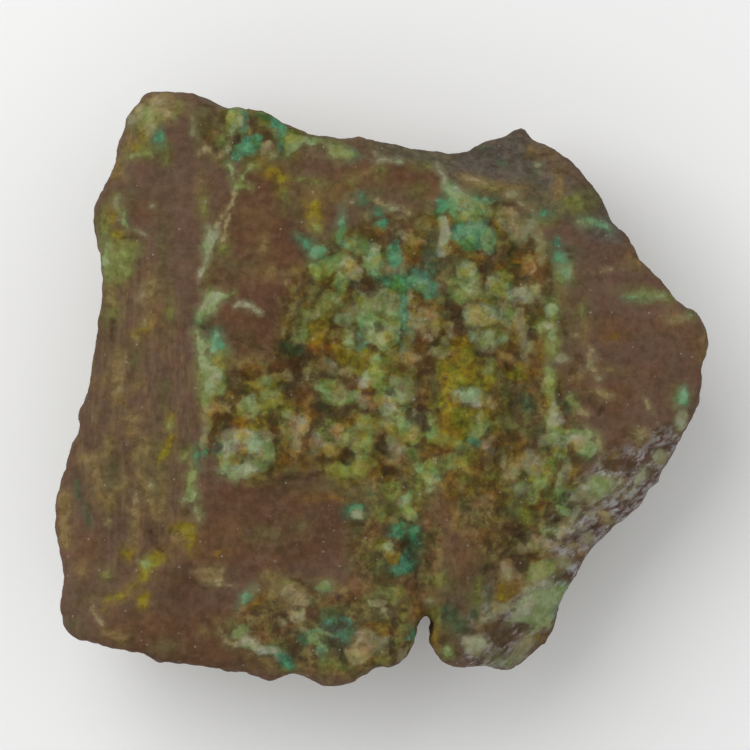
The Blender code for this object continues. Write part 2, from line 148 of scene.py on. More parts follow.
LEFT_EDGE_GREENS = (
    Growth(OLIVE, ((-42.2, 25, 1.4, 2.6), (-41.6, 10.6, 1.2, 2.6), (-32.9, 20.5, 0.8, 5)),
        seams=((0.5, (-37.9, 30), (-37.2, 27.4)),)),
    Growth(TAN, ((-40.2, 33, 1.2, 1.6, 30),), seams=((0.5, (-41.4, 15.6), (-40.6, 12.6)),)),
    Growth(RUST, ((-36.4, 26, 1.8, 1),)),
    Growth(MOSS, ((-41.6, 24.4, 1, 1.6), (-40.2, 11.2, 0.6, 0.9)),
        seams=((0.4, (-40, 28.4), (-39.6, 26.6)),),
        plates=(((-42.6, 21.6), (-41, 22.6), (-38.8, 22.4), (-36.2, 21.4), (-37.4, 17.6), (-39.1, 15.4),
        (-41.6, 16), (-42.6, 19)),)),
    Growth(MUSTARD, ((-39.7, 22.9, 0.8, 0.7), (-40.6, 25.8, 0.4, 0.9))),
    Growth(MINT, ((-41.4, 19.4, 0.7, 1.9, 4),), seams=((0.35, (-38.7, 26), (-38.4, 24.2)),)),
    Growth(LIME, ((-38.6, 19.9, 1.3, 0.8, 20),), seams=((0.4, (-39.4, 19.2), (-38.4, 17)),)),
    Growth(QUARTZ, ((-39.8, 27.6, 0.6, 0.8), (-34.6, 27.3, 0.4, 0.4)),
        seams=((0.3, (-37.4, 23.6), (-35.8, 22.9)),)),
    Growth(DARK, seams=((0.15, (-39.2, 22.4), (-37.6, 22.2), (-36.2, 22.5)),
        (0.2, (-40.2, 10.4), (-40.4, 7.6)))),
)

LEFT_STRIP = (
    Growth(OLIVE, ((-37, 4, 1, 2), (-34.4, -12, 2.6, 5), (-41, -14, 2, 3.4)),
        seams=((0.7, (-32.4, 0.6), (-32.6, -3.4)),)),
    Growth(TAN, ((-34.6, 14.4, 0.9, 2.6, 5), (-34.7, 10, 0.8, 2), (-41.3, 1, 0.9, 0.5),
        (-36.8, 0.3, 1, 0.7, 50), (-37.6, -6.6, 1.1, 1), (-37.6, -4.4, 1.4, 0.9), (-44.4, -10.8, 1, 0.9),
        (-45.2, -27.5, 1, 0.9), (-36.9, 7.4, 0.6, 0.9), (-30.6, -22.6, 1.6, 0.9, 30), (-35.6, -9.4, 1, 1.6)),
        seams=((0.9, (-39.5, 4.6), (-39.7, 2), (-39.5, -2)),
        (0.6, (-40.6, -7.4), (-41.6, -9.8), (-44.2, -11)),
        (0.75, (-43.2, -11), (-42.8, -13.6), (-42.2, -16.4), (-40.8, -18)),
        (0.6, (-38.2, -13.8), (-40.4, -16.2), (-41.2, -18.4)),
        (0.6, (-36.4, -13), (-35.2, -15.8), (-33.9, -19.4)),
        (0.55, (-33.2, -13.2), (-32.7, -15.8), (-33.4, -19.2)), (1, (-47.8, -16.5), (-47.8, -23.2)),
        (0.55, (-36.7, -18.4), (-36.9, -23)), (0.55, (-35.8, -8), (-37, -10.6)))),
    Growth(RUST, ((-31.7, 8.8, 0.9, 0.9), (-33.4, 10.5, 0.9, 2.4), (-44.6, -24.5, 2, 2.6))),
    Growth(DEEP, seams=((0.35, (-45.7, -14.6), (-45.5, -16.4)), (0.5, (-44.6, -17.4), (-44, -20.6)))),
    Growth(CREAM, ((-35.8, 15.5, 0.4, 0.3), (-35.9, 13.4, 0.4, 0.5), (-35.6, 10.2, 0.3, 0.5),
        (-34.8, -14.7, 0.45, 0.45), (-40.9, -19.9, 0.25, 0.35)),
        seams=((0.22, (-37.1, -15.8), (-37, -18.6)), (0.2, (-39.5, 2.6), (-39.5, -1)))),
    Growth(MOSS, ((-31.7, 11.2, 0.45, 1.2), (-41.2, -27.9, 0.8, 0.8))),
    Growth(MUSTARD, ((-35.8, 8.8, 0.8, 0.4, 20), (-38, -25, 0.8, 0.9), (-35.9, -31.9, 0.9, 1)),
        seams=((0.45, (-31.7, -5), (-31.8, -6.4)), (0.42, (-31.4, -7.4), (-32.4, -9.2), (-33.4, -10.6)),
        (0.3, (-36.9, -29.4), (-38.6, -30.5)), (0.35, (-39.2, -31), (-40.8, -31.5))),
        plates=(((-32.4, -24.9), (-35, -25.1), (-36.2, -27), (-36.9, -29), (-35.2, -29), (-34.4, -27.2),
        (-32.6, -25.8)),)),
    Growth(LIME, ((-35.2, -26.4, 0.7, 0.6),), seams=((0.22, (-31.6, -5.4), (-31.8, -6.2)),)),
    Growth(DARK, seams=((0.14, (-34.6, -21.6), (-34.1, -23.2), (-33.4, -24.4), (-32.5, -24.6)),
        (0.14, (-38.4, -11.2), (-37.6, -12.4)), (0.14, (-37.6, -15.2), (-36.8, -15.6)))),
)

RIDGE_VEIN = (
    Growth(TAN, ((-27.2, 30.2, 0.5, 1.2), (-18, 40.9, 2, 0.4, -8), (-17.4, 34.6, 1.4, 0.6, 30)),
        seams=((0.5, (-24, 34.2), (-22.8, 36.2), (-20.8, 37.8)),)),
    Growth(MOSS, ((-14.8, 28.4, 0.5, 0.9), (-26.7, 27.2, 0.5, 1.3), (-23.6, 20.6, 0.7, 1),
        (-25.8, 1.6, 2.2, 3.2), (-29.4, -10.2, 0.7, 0.8)),
        seams=((0.3, (-24.6, 36.4), (-22.6, 38)), (0.3, (-19.2, 33.3), (-17.7, 32.4), (-16.6, 31.9)),
        (0.3, (-21.6, 38.2), (-20, 38.6), (-17.8, 39.6)), (0.4, (-26, 15), (-26.2, 19)))),
    Growth(TEAL, ((-15.1, 37.3, 0.5, 1), (-21, 39.8, 0.6, 1.2), (-16.2, 39.6, 1.6, 0.4, -30),
        (-27.2, 9.9, 0.5, 0.6), (-24.6, 6.6, 1.4, 0.7, -40)),
        seams=((0.3, (-27.8, -9.5), (-27.8, -12)), (0.16, (-27.4, -10.2), (-25.9, -9.4), (-24.1, -8.9))),
        plates=(((-22.8, 33.9), (-21.5, 34.1), (-18.5, 35.9), (-18.2, 37.2), (-19.6, 37.5),
        (-21.5, 36.1)),)),
    Growth(MINT, ((-22.1, 40.2, 0.9, 1.5, -10), (-9.8, 36.8, 0.8, 0.3), (-25.9, 22, 0.9, 1.7, -5),
        (-26.9, 5.4, 0.5, 1.6)),
        seams=((0.45, (-28.2, -16), (-28.4, -17.2)), (0.25, (-28.6, -17), (-29.8, -17.3)),
        (0.3, (-28.2, 8.4), (-27, 7.4), (-26, 6.2)), (0.35, (-23.1, 33), (-22.2, 31.4), (-21.6, 30)),
        (0.35, (-27.6, -18.8), (-27.8, -17.4)), (0.35, (-27.6, 8.6), (-27.3, 5.6))),
        plates=(((-14.6, 37.2), (-13.2, 37.6), (-11.2, 37.4), (-12, 36), (-14, 34.8), (-14.4, 36)),
        ((-26.7, 14.2), (-25.2, 14.3), (-22.2, 13.9), (-23.4, 13.1), (-24.4, 12.7), (-24.9, 11.5),
        (-26.3, 10.3), (-27.4, 9.2), (-28, 10.2), (-26.6, 12.3)),
        ((-27.6, 4.6), (-26.6, 5), (-25.6, 3.6), (-24.2, 2.2), (-23.7, -0.4), (-24.8, -0.9), (-26.4, -0.6),
        (-27, 1.4)))),
    Growth(LIME, ((-7, 35.1, 1.1, 1.2), (-26.4, -1.2, 0.8, 1), (-24.5, 1.4, 0.8, 1.6)),
        seams=((0.3, (-6.4, 34.6), (-4.9, 34.9)), (0.3, (-21.5, 29.9), (-20.8, 31.4), (-19.4, 33)),
        (0.3, (-21.4, 29.9), (-19.8, 30)), (0.3, (-29.4, -9.6), (-29.4, -10.8))),
        plates=(((-28.8, -11.6), (-28, -12.6), (-28.2, -15.8), (-29.4, -15.8), (-29.6, -13.6)),)),
    Growth(CHALK, ((-25.9, 22.6, 0.5, 0.8, -12), (-25.2, 13.2, 0.7, 0.7), (-24.9, 1, 0.7, 1)),
        seams=((0.24, (-24.9, 23.8), (-25.6, 20.5), (-26.7, 17.9), (-27.5, 16.4)),
        (0.2, (-26.4, 12.8), (-27, 11.6)))),
    Growth(QUARTZ, ((-28.2, 38.9, 0.35, 1), (-27.4, -19.9, 0.3, 0.3)),
        seams=((0.42, (-26.5, -4.4), (-26.4, -6.8), (-26.9, -9)),)),
    Growth(CREAM, ((-26.5, 35.4, 0.8, 0.6), (-26.3, 14, 0.3, 0.3), (-24.8, -3, 1.2, 0.5)),
        seams=((0.26, (-21.8, 29.5), (-22.6, 27.3), (-23.7, 25.8), (-24.8, 23.9)),
        (0.24, (-22.8, 25.8), (-23.3, 23.5), (-23.8, 21.8)), (0.2, (-17, 35.9), (-18, 34.8)),
        (0.2, (-24.2, 34.6), (-23, 36)))),
    Growth(MUSTARD, ((-15.1, 31, 0.8, 1.2), (-16, 32.4, 0.8, 0.5), (-24.3, 4.6, 0.8, 1.3)),
        plates=(((-29.2, -19.8), (-31.6, -20.8), (-32.2, -21.6), (-30.4, -21.6), (-29.6, -22.6),
        (-28.7, -24.9), (-28, -24.2), (-28.2, -22.2), (-28.4, -20.6)),)),
    Growth(OCHRE, ((-16.8, 32, 1.4, 0.9), (-25.4, -4.8, 1.2, 0.8))),
    Growth(UMBER, ((-25.8, 8.8, 1, 0.4, -15), (-29.4, -18.6, 0.9, 0.4), (-25.6, -7.6, 0.5, 0.9)),
        seams=((0.3, (-23.9, 33.6), (-23.2, 35.6), (-21, 37.4)), (0.25, (-24.6, 35.2), (-26.6, 37.6)),
        (0.3, (-19.4, 39.6), (-17, 37.2)))),
    Growth(DARK, seams=((0.14, (-31.9, -21.9), (-31.2, -21.2)), (0.2, (-27.2, 9.2), (-25.4, 8.7)))),
)

BROWN_BLOCK = (
    Growth(RUST, ((-19, 24.5, 3.4, 3), (-18, 17, 4, 1.6, 10), (-17.3, 7.1, 1, 0.8), (-25.5, 16.6, 1.6, 0.8),
        (-13, 19.2, 2, 1), (-19.6, 5, 3.6, 1.2, -15), (-15.6, 3.6, 1.6, 0.8), (-22, 11, 2, 1.2))),
    Growth(TAN, ((-12.9, 17.2, 1.2, 0.8), (-16.8, 17.2, 1, 0.9), (-17.8, 21.4, 0.8, 1.2),
        (-17.9, 20.6, 0.9, 0.4), (-20.6, 3.4, 2, 0.8, -20))),
    Growth(OLIVE, ((-22.4, 17.6, 1.6, 1.2), (-19.4, 17.6, 1.4, 1.4), (-19.8, 25.8, 1.6, 0.6),
        (-24.2, 20.6, 1.2, 1.2), (-23.6, 4.4, 1.4, 1.6)),
        seams=((0.4, (-25.2, 8.8), (-21.6, 7.5), (-18.4, 5.6)),)),
    Growth(UMBER, ((-22.2, 1.2, 0.9, 1.5, 10), (-21.2, -0.6, 0.6, 0.6), (-13.8, 5.6, 2, 0.5)),
        seams=((0.3, (-25.6, 8.9), (-22.6, 7.6), (-20.6, 6.6), (-18.8, 6)),
        (0.35, (-26.2, 15.9), (-22.6, 15.9)), (0.5, (-12, 19.6), (-10.6, 17.6), (-11.4, 16.2)),
        (0.25, (-19.8, 11.2), (-18.4, 10.6)))),
    Growth(CHALK, seams=((0.3, (-21.7, 12.2), (-20.6, 12.1), (-19.6, 11.8), (-18.5, 11.2)),)),
    Growth(MOSS, seams=((0.28, (-12, 31.3), (-10.5, 30.4), (-9, 30.3), (-7.4, 29.8)),)),
    Growth(CREAM, ((-14.6, 16.9, 0.4, 0.25), (-14.5, 15.7, 0.35, 0.3), (-16.5, 34.8, 0.35, 0.25),
        (-18.6, 11.3, 0.5, 0.35, -30))),
    Growth(DARK, ((-12.5, 29.2, 0.4, 0.4),), seams=((0.4, (-11.3, 4.9), (-12.2, 3.6), (-12.9, 2)),)),
)

MUSTARD_TRAIL = (
    Growth(RUST, ((-8, 29, 4, 1.6), (-7.6, 26.6, 1.6, 2.2), (-4, 32, 3, 1.6))),
    Growth(OLIVE, ((-12.4, 26.6, 1, 2.4), (-4.6, 27.4, 1.6, 1)),
        seams=((0.4, (-10.6, 37.3), (-3, 36.4), (4, 35.1), (10, 34.2)),)),
    Growth(TAN, ((-10.4, 29, 0.9, 0.6), (-7.4, 28.2, 1, 0.5), (-3.4, 31.6, 1.2, 0.5, 20))),
    Growth(MOSS, ((-9.8, 23.6, 0.7, 0.7), (-4.7, 30.6, 0.5, 0.7), (-0.4, 32.3, 0.6, 0.9)),
        seams=((0.3, (-13.2, 31.4), (-11.3, 30.7), (-9.8, 30.3), (-7.9, 29.7)),
        (1, (-6.5, 22.5), (-4.2, 21.7), (-2.7, 20.2), (-0.8, 19)))),
    Growth(OCHRE, ((-11.4, 26.6, 0.4, 0.9), (-6.6, 29.4, 0.9, 0.4))),
    Growth(MUSTARD,
        plates=(((-11.4, 27.9), (-9.4, 27.8), (-9, 25.4), (-9.6, 23.4), (-10.6, 23.8), (-11, 25.8)),)),
    Growth(LIME, ((-9.9, 23.9, 0.4, 0.6), (-3.6, 21, 0.9, 0.5, -30)),
        plates=(((-7.9, 35.7), (-6.8, 36.4), (-5.3, 35.6), (-4.5, 34.8), (-6.1, 34.2), (-7.4, 34)),)),
    Growth(AQUA, ((-6.2, 24, 0.6, 1.5), (-9.9, 20.4, 1, 0.8, -20), (-1.4, 19, 0.9, 1.8),
        (-5, 34.9, 0.7, 0.4, -20), (-4.9, 21.6, 1, 0.5, -20))),
    Growth(TEAL, ((-3.1, 28.4, 0.5, 0.6, 20), (-0.5, 26.2, 0.5, 0.4), (0.1, 24.5, 0.4, 0.35),
        (-11.4, 21.4, 0.9, 0.4, -35), (1.8, 20.1, 0.5, 0.9), (-7.2, 18.9, 0.7, 0.4))),
    Growth(DEEP, ((-2.7, 27.7, 0.8, 0.5), (-0.6, 26.9, 0.6, 0.3)),
        seams=((0.35, (-13.2, 22.4), (-11.3, 21.6)),)),
    Growth(QUARTZ, ((-2.7, 25.6, 0.4, 0.3), (-5.5, 28.6, 0.3, 0.3))),
    Growth(CREAM, seams=((0.18, (-1.6, 28.3), (1.4, 26.9), (4, 26.2)),)),
    Growth(CHALK, ((-4.6, 27.5, 0.22, 0.22), (1.4, 26.7, 0.5, 0.22, -10))),
)

EAST_OF_TRAIL = (
    Growth(OLIVE, ((7.4, 21, 1.6, 3), (4.6, 28.4, 2.4, 0.9, -10), (-1, 29.2, 1.6, 0.9))),
    Growth(RUST, ((1.9, 31.4, 2.4, 1.4), (7.4, 30, 1.2, 1.6), (4.4, 23.9, 0.8, 1.2), (1, 22.8, 1.4, 1.2))),
    Growth(CREAM, ((4.5, 22.3, 1, 0.4, -35),)),
    Growth(QUARTZ, ((-0.5, 33.9, 0.9, 0.6), (0.6, 18, 0.7, 0.5))),
    Growth(CHALK, seams=((0.22, (-1.2, 34.5), (1, 34), (2.9, 33.8)), (0.3, (9.1, 24.9), (9, 23.6)),
        (0.35, (9.1, 22.8), (9.1, 21.6), (9.3, 20.2)))),
    Growth(TEAL, ((8.9, 27.3, 0.7, 0.9),)),
    Growth(DEEP, ((8.6, 26, 0.6, 0.6), (7, 20.4, 1, 0.8))),
    Growth(MOSS, ((6.2, 33.1, 0.9, 0.3, -10), (5.6, 29.8, 0.6, 0.3))),
)

RIM_AND_LEDGE = (
    Growth(TAN, ((26.4, 30, 0.9, 2.4), (22.7, 35.8, 0.8, 0.9), (25.4, 35.5, 1, 0.35, -35)),
        seams=((0.6, (12.4, 31.3), (15.6, 30.6), (18.3, 29.8), (21.7, 30)),)),
    Growth(OLIVE, ((22.6, 27.8, 3, 1.6), (28.4, 26.6, 3.6, 1.4, -10), (17.4, 29, 2.2, 0.8, -10),
        (30.8, 28.6, 2.2, 1.8, -30))),
    Growth(RUST, seams=((0.5, (23.7, 34.4), (25.5, 34.3), (27.3, 33.3), (29.7, 31.8)),)),
    Growth(CREAM, ((13.6, 31.1, 1.3, 0.4, -15), (18.6, 25.7, 1.4, 1.3), (19.2, 24.2, 0.9, 0.7)),
        seams=((0.25, (20.4, 27.5), (23.6, 26.1)),)),
    Growth(MOSS, ((28.9, 27.5, 1.7, 1.2), (23.6, 24.7, 1.3, 0.6), (15.8, 29.8, 1.6, 0.4, -15))),
    Growth(QUARTZ, ((19.4, 28.9, 0.8, 0.5), (21, 23.6, 1.4, 0.6, 20), (20.8, 22.6, 0.6, 0.5),
        (23.5, 33.3, 0.5, 0.7)), seams=((0.45, (22.8, 24.1), (24, 21.6), (23.6, 19.4)),)),
    Growth(DEEP, ((15.1, 36, 0.9, 0.5), (17.9, 33.6, 0.7, 0.6), (22.8, 32, 0.5, 1.2)),
        seams=((0.2, (13.4, 28.5), (17.5, 27.6), (19.8, 27.4)),)),
    Growth(TEAL, ((23.7, 25.8, 1, 0.35, 15), (26.1, 21.5, 0.7, 0.5, -45), (26.6, 19.6, 0.8, 0.4, -40),
        (11.6, 26.4, 1.2, 0.5, -20)),
        plates=(((10.4, 23.5), (11.5, 24.3), (13.8, 24.9), (15.7, 25), (15.6, 22.8), (14.2, 20.9),
        (12.3, 20.9), (10.8, 22)),)),
    Growth(AQUA, ((14, 23.4, 1.2, 1.4, 20), (15.7, 21.6, 0.7, 1.2), (11.6, 22.9, 0.6, 0.6),
        (27.2, 17.4, 0.6, 0.9, 10)), seams=((0.3, (30.4, 25.1), (33.4, 24.1)),),
        plates=(((9.3, 31), (10.4, 30.1), (12.3, 28.8), (14.5, 28), (16.8, 27.7), (15.3, 26.9), (14.2, 25.8),
        (12.7, 25), (11.2, 25.4), (10.4, 26.5), (9.7, 28), (9.3, 29.5)),)),
    Growth(MINT, ((12.4, 27.9, 2, 0.8, -30), (15.7, 22, 0.4, 0.8), (27, 16.4, 0.6, 1, 10)),
        seams=((0.3, (9.7, 30.2), (10.2, 28.6)),)),
    Growth(LIME, ((13.2, 25.7, 1, 0.4, 5),)),
    Growth(CHALK, seams=((0.2, (7.8, 33.3), (9.3, 31.4), (9.5, 29.8)), (0.2, (10.8, 29.9), (12.8, 28.8)))),
    Growth(MUSTARD, ((17.2, 24, 0.5, 1.2),), seams=((0.25, (10.4, 24.9), (13.6, 25.3)),)),
    Growth(UMBER, ((17.4, 22, 0.7, 1), (22.2, 21.8, 0.6, 0.9), (24.2, 17.9, 0.6, 0.5)),
        seams=((0.22, (10, 24.7), (13.6, 25.2)), (0.25, (16.4, 24.7), (16.6, 20)),
        (0.35, (26, 32.5), (28.2, 31.8), (30.8, 30)), (0.2, (21.5, 34.3), (23, 35), (25.2, 35.1)))),
    Growth(DARK, ((27.6, 20.4, 0.7, 0.3, -30), (28.3, 19.2, 0.5, 0.35)),
        seams=((0.16, (17, 27.3), (20.2, 27.2)),)),
)

CENTRE_WEST = (
    Growth(OLIVE, ((-10.9, 12.3, 1.3, 1.1), (-12.1, -12.4, 1.7, 0.6)),
        seams=((0.26, (-15.4, 6.1), (-13.2, 5.6), (-12.1, 5.2)),),
        plates=(((-13.2, 8.9), (-11.7, 9.5), (-10.9, 8.2), (-11.1, 6.5), (-12.3, 5.7), (-13.2, 7.4)),)),
    Growth(RUST, ((-17.3, 7.1, 0.8, 0.7), (-6.3, -1.6, 0.8, 1.1)),
        seams=((0.38, (-21.8, 4.1), (-19, 2.6), (-16.4, 1.4)),),
        plates=(((-14.7, 1.1), (-13.2, 1.8), (-11.7, 0.7), (-9.4, -0.4), (-8.7, -2.3), (-10.6, -3.1),
        (-12.8, -3.1), (-13.9, -1.6)),
        ((-25.2, -2.3), (-24.4, -1.8), (-22.8, -2.3), (-22.6, -5.3), (-24.1, -6.3), (-25.2, -5.3)))),
    Growth(TAN, ((-2.9, -3.4, 0.8, 0.4), (-23.3, -1.4, 1.1, 0.5), (-6.3, 7.6, 1.1, 0.4)),
        plates=(((-11.3, 4.1), (-9.1, 4.8), (-8.7, 2.6), (-6.8, 1.4), (-8.7, 0.3), (-10.2, 1.4),
        (-12.1, 1.4), (-13.2, 1.6), (-14.7, 1.4), (-13.6, 2)),
        ((-15.8, -4.2), (-14.7, -3.4), (-12.4, -3.4), (-10.9, -2.3), (-10.2, -4.2), (-9.6, -6.1),
        (-10.6, -8.7), (-10.9, -10.6), (-12.1, -12.4), (-13.6, -12.1), (-13.9, -9.1), (-14.7, -6.4)))),
    Growth(MOSS, ((-11.2, 10.2, 0.6, 1), (-14.7, -3.4, 0.8, 0.3), (-19, -3.8, 1.5, 0.6)),
        seams=((0.3, (-18.4, -7.4), (-18.1, -9.1), (-18.8, -10.2)),
        (0.26, (-15.8, -4), (-14.7, -6.1), (-13.6, -7.4))),
        plates=(((-11.5, 10.8), (-10.2, 11.7), (-8.7, 13.4), (-7.2, 14.4), (-5.9, 14.2), (-5.7, 12.7),
        (-6.8, 11.6), (-9.1, 10.4), (-10.6, 8.9), (-12.8, 7.6), (-13.2, 8.7)),
        ((-9.1, -5.7), (-7.6, -4.6), (-5.3, -3.4), (-3.8, -3.4), (-2.7, -4.9), (-1.4, -6.4), (-1, -9.8),
        (-1.6, -12.4), (-4.2, -13.6), (-7.2, -12.8), (-9.1, -11.7), (-10.2, -9.4), (-9.6, -7.2)),
        ((-5.7, 2.9), (-3.8, 3.5), (-2.1, 2.9), (-2.7, 1.4), (-4, 1.1), (-5.3, 2)))),
    Growth(OCHRE, ((-12.1, -11.3, 1.1, 1.1), (-10.6, -4.4, 0.6, 0.9), (-11.5, -7.9, 0.8, 1.1),
        (-22.6, -1.6, 0.9, 0.8), (-14.7, -10.4, 0.6, 1.1)),
        plates=(((-9.1, 10.4), (-6.3, 11), (-6.4, 9.7), (-7.9, 9.1), (-9.1, 8.9)),
        ((-10.9, 6.7), (-9.1, 7.1), (-7.6, 5.9), (-6.8, 4.4), (-6.4, 2.9), (-8.3, 2.9), (-9.1, 4.1),
        (-10.2, 4.1), (-10.9, 5.2)))),
    Growth(UMBER, ((-13.9, 2.9, 1, 0.4), (-13.9, -0.8, 0.7, 0.9, 20), (-23.7, -3.8, 0.9, 1.8),
        (-16.9, -3.8, 1.1, 0.8), (-8.5, -10.9, 0.9, 0.7), (-4, -1.4, 0.6, 1.4), (-21.1, -0.3, 0.8, 0.5),
        (-10.6, -7, 0.5, 0.7), (-1.8, -3.8, 0.8, 0.6)),
        seams=((0.49, (-11.1, 4.8), (-12.3, 3.5), (-12.8, 1.6)),
        (0.3, (-24.1, 8.4), (-21.8, 7.1), (-18.8, 6.3), (-17.3, 5.6)),
        (0.34, (-6.4, 10.8), (-7.2, 9.1), (-8.3, 8.7)), (0.45, (-9.4, -2.9), (-9.3, -5.5)),
        (0.38, (-8.9, -3.4), (-6.4, -4.4), (-5.3, -3.4)),
        (0.45, (-8.3, 2.4), (-6.8, 1.8), (-5.3, 1.1), (-3.6, 0.7)), (0.41, (-16.4, -4.2), (-16, -6.4))),
        plates=(((-23.1, 2.6), (-21.4, 2.2), (-19.9, 0.3), (-20.9, -0.8), (-22.4, -0.3)),)),
    Growth(DEEP, ((-3.2, 6.7, 0.6, 1.1),), seams=((0.24, (-14.7, 6), (-12.3, 5.4)),)),
    Growth(MUSTARD, ((-3.1, -0.4, 0.8, 0.4), (-19.6, -5.5, 1.8, 1.1), (-20.1, -0.3, 1.1, 0.6),
        (-24.1, 3.1, 0.6, 0.6)), seams=((0.22, (-4.6, -5.7), (-1.9, -5.7)),),
        plates=(((-10.6, 9.1), (-8.9, 10.1), (-8.3, 9.3), (-9.1, 8.2), (-8.7, 7.1), (-9.8, 6.5),
        (-11.1, 6.9), (-10.9, 8.4)),
        ((-7.4, 6.3), (-6.1, 5.7), (-4.6, 5.2), (-2.3, 5.6), (-2.1, 4.4), (-3.6, 3.7), (-5.7, 3.5),
        (-6.4, 4.6)),
        ((-20.3, -0.4), (-18.4, 0.9), (-17.3, 1.4), (-16.2, 0.3), (-15.1, -1), (-15.8, -2.7), (-17.7, -3.3),
        (-19, -1.9)))),
    Growth(QUARTZ, ((-5.7, 10.1, 0.9, 0.8), (-7.8, 3.3, 0.9, 0.6, -30), (-9.8, -8.5, 0.5, 1),
        (-4, 11, 0.6, 0.8)),
        plates=(((-23.6, -7.4), (-22.2, -6.6), (-18.2, -6.7), (-16.6, -7.2), (-16.5, -8.7), (-16.8, -10.4),
        (-17.7, -12.3), (-19.6, -13.2), (-21.8, -13.8), (-23.1, -13.6), (-24.1, -12.1), (-24.1, -9.8)),)),
    Growth(CREAM, ((-6.4, 8, 0.9, 0.3), (-6.3, 2.2, 0.8, 0.3), (-11.9, -5.8, 0.6, 1, -15),
        (-13, -8.9, 0.4, 1.1), (-7.8, -9.4, 0.9, 0.7), (-2.3, -2.5, 0.9, 0.6, -20), (-6.8, -6.6, 0.6, 0.8),
        (-13.9, -4.4, 0.6, 0.2, -30), (-14.7, 1.6, 0.8, 0.3), (-18.4, -9.6, 0.6, 1.3),
        (-20.1, -8.6, 2.6, 1.3), (-20.4, -11.9, 1.8, 1))),
    Growth(AQUA, ((-3.1, 7.1, 0.7, 0.9), (-24.7, 8, 0.5, 0.6), (-24.9, 5.9, 0.5, 0.9))),
    Growth(LIME, ((-4.9, 7, 0.9, 1), (-17.3, 0.9, 0.8, 0.5), (-16.8, -1.8, 1.3, 1), (-3.1, -11.7, 1.7, 1.1),
        (-5.9, -12.3, 1.3, 0.5), (-10.6, 10.6, 0.8, 0.5), (-7.8, 12.5, 1.1, 0.6), (-12.3, 8, 0.7, 0.5),
        (-19, -3.6, 0.9, 0.4), (-18.8, -11.7, 1.1, 0.8)),
        plates=(((-9.3, 0.7), (-7.9, 1.1), (-6.4, 0.1), (-4.9, -1), (-4.8, -1.9), (-6.3, -2.7), (-7.4, -2.3),
        (-8.7, -1.2)),
        ((-6.4, -8.5), (-4.8, -6.6), (-2.7, -5.7), (-1.6, -6.6), (-1.9, -8.7), (-4.2, -9.3), (-5.9, -9.1)))),
    Growth(MINT, ((-8.5, 0, 0.8, 0.5), (-23.4, -10.9, 0.8, 1.4), (-22.2, -13, 1.3, 0.5),
        (-17.1, -9.6, 0.5, 0.9), (-5.3, 7.4, 0.5, 0.6), (-7.4, 13.4, 0.9, 0.6), (-4.4, -1, 0.6, 0.4)),
        plates=(((-20.5, -1.8), (-19.2, -1.4), (-19, -3.3), (-19.8, -4.4), (-21.4, -4), (-21.6, -2.7)),)),
    Growth(CHALK, ((-20.1, -8, 1.9, 1.2), (-20.6, -12.2, 1.2, 0.6), (-2.6, 0.7, 0.7, 0.7),
        (-22.9, -9.1, 0.6, 0.9), (-19, 11.5, 0.7, 0.4, -30), (-12.1, -5.6, 0.3, 0.5))),
    Growth(DARK, ((-5.3, -10.4, 1, 1.1), (-11.7, 4.1, 0.4, 0.8, -30), (-21.2, -0.3, 0.6, 0.3),
        (-1.9, 14.6, 0.7, 0.8), (-12.8, 2.2, 0.3, 0.6)),
        seams=((-0.3, (-19.6, -10.4), (-20.5, -10.9), (-21.4, -11.5)),)),
)

NORTH_OF_CENTRE = (
    Growth(RUST, ((-8, 15.8, 1.8, 1), (-9.6, 19.1, 1.4, 0.5))),
    Growth(TAN, plates=(((-0.5, 17.6), (0.8, 18.4), (1.6, 17.2), (0.6, 16), (-0.6, 16.4)),)),
    Growth(MOSS, ((-7.2, 18.2, 2.6, 1.2, 10),),
        plates=(((-3.2, 20), (-2.2, 17.6), (-3.4, 16), (-5.6, 15.8), (-6.6, 17), (-5, 19)),)),
    Growth(UMBER, ((-4, 15.1, 1.4, 0.4, 10), (0.2, 15.6, 0.9, 0.6), (-3, 18.6, 0.3, 0.8))),
    Growth(LIME, plates=(((-10.6, 18.2), (-9.6, 17), (-8.2, 17), (-7.2, 17.6), (-5.8, 17.5), (-4.8, 18.4),
        (-5.6, 19.6), (-7, 19.6), (-7.8, 18.7), (-9, 18.5)),)),
    Growth(MINT, ((-10.2, 17.6, 0.5, 1, 30), (-6.2, 15.6, 0.7, 0.9)),
        plates=(((-3, 20.8), (-0.8, 21), (-0.2, 19.4), (-0.8, 17.7), (-1.9, 17.7), (-2.8, 19.2)),)),
    Growth(CHALK, ((-3.9, 16.8, 0.8, 1.2), (-5.1, 18.4, 0.7, 0.5), (-1.2, 19.8, 0.5, 0.7))),
    Growth(DARK, ((-3.9, 15.2, 0.7, 0.3, 10),)),
)

CENTRE_UNDERLAY = (
    Growth(TAN, plates=(((16.4, 5.6), (20.9, 3.7), (22.8, -0.1), (17.2, -0.1), (16.4, 1.8)),)),
    Growth(MOSS,
        plates=(((-2, 4.8), (1.2, 5.6), (4.4, 3.3), (4.4, 1.1), (1.4, -2.3), (-0.5, -3.4), (-2.3, 1.8)),)),
    Growth(MUSTARD, plates=(((8.6, 7.1), (12.7, 6.9), (14, 5.7), (13.1, 4.8), (9.7, 5)),)),
)

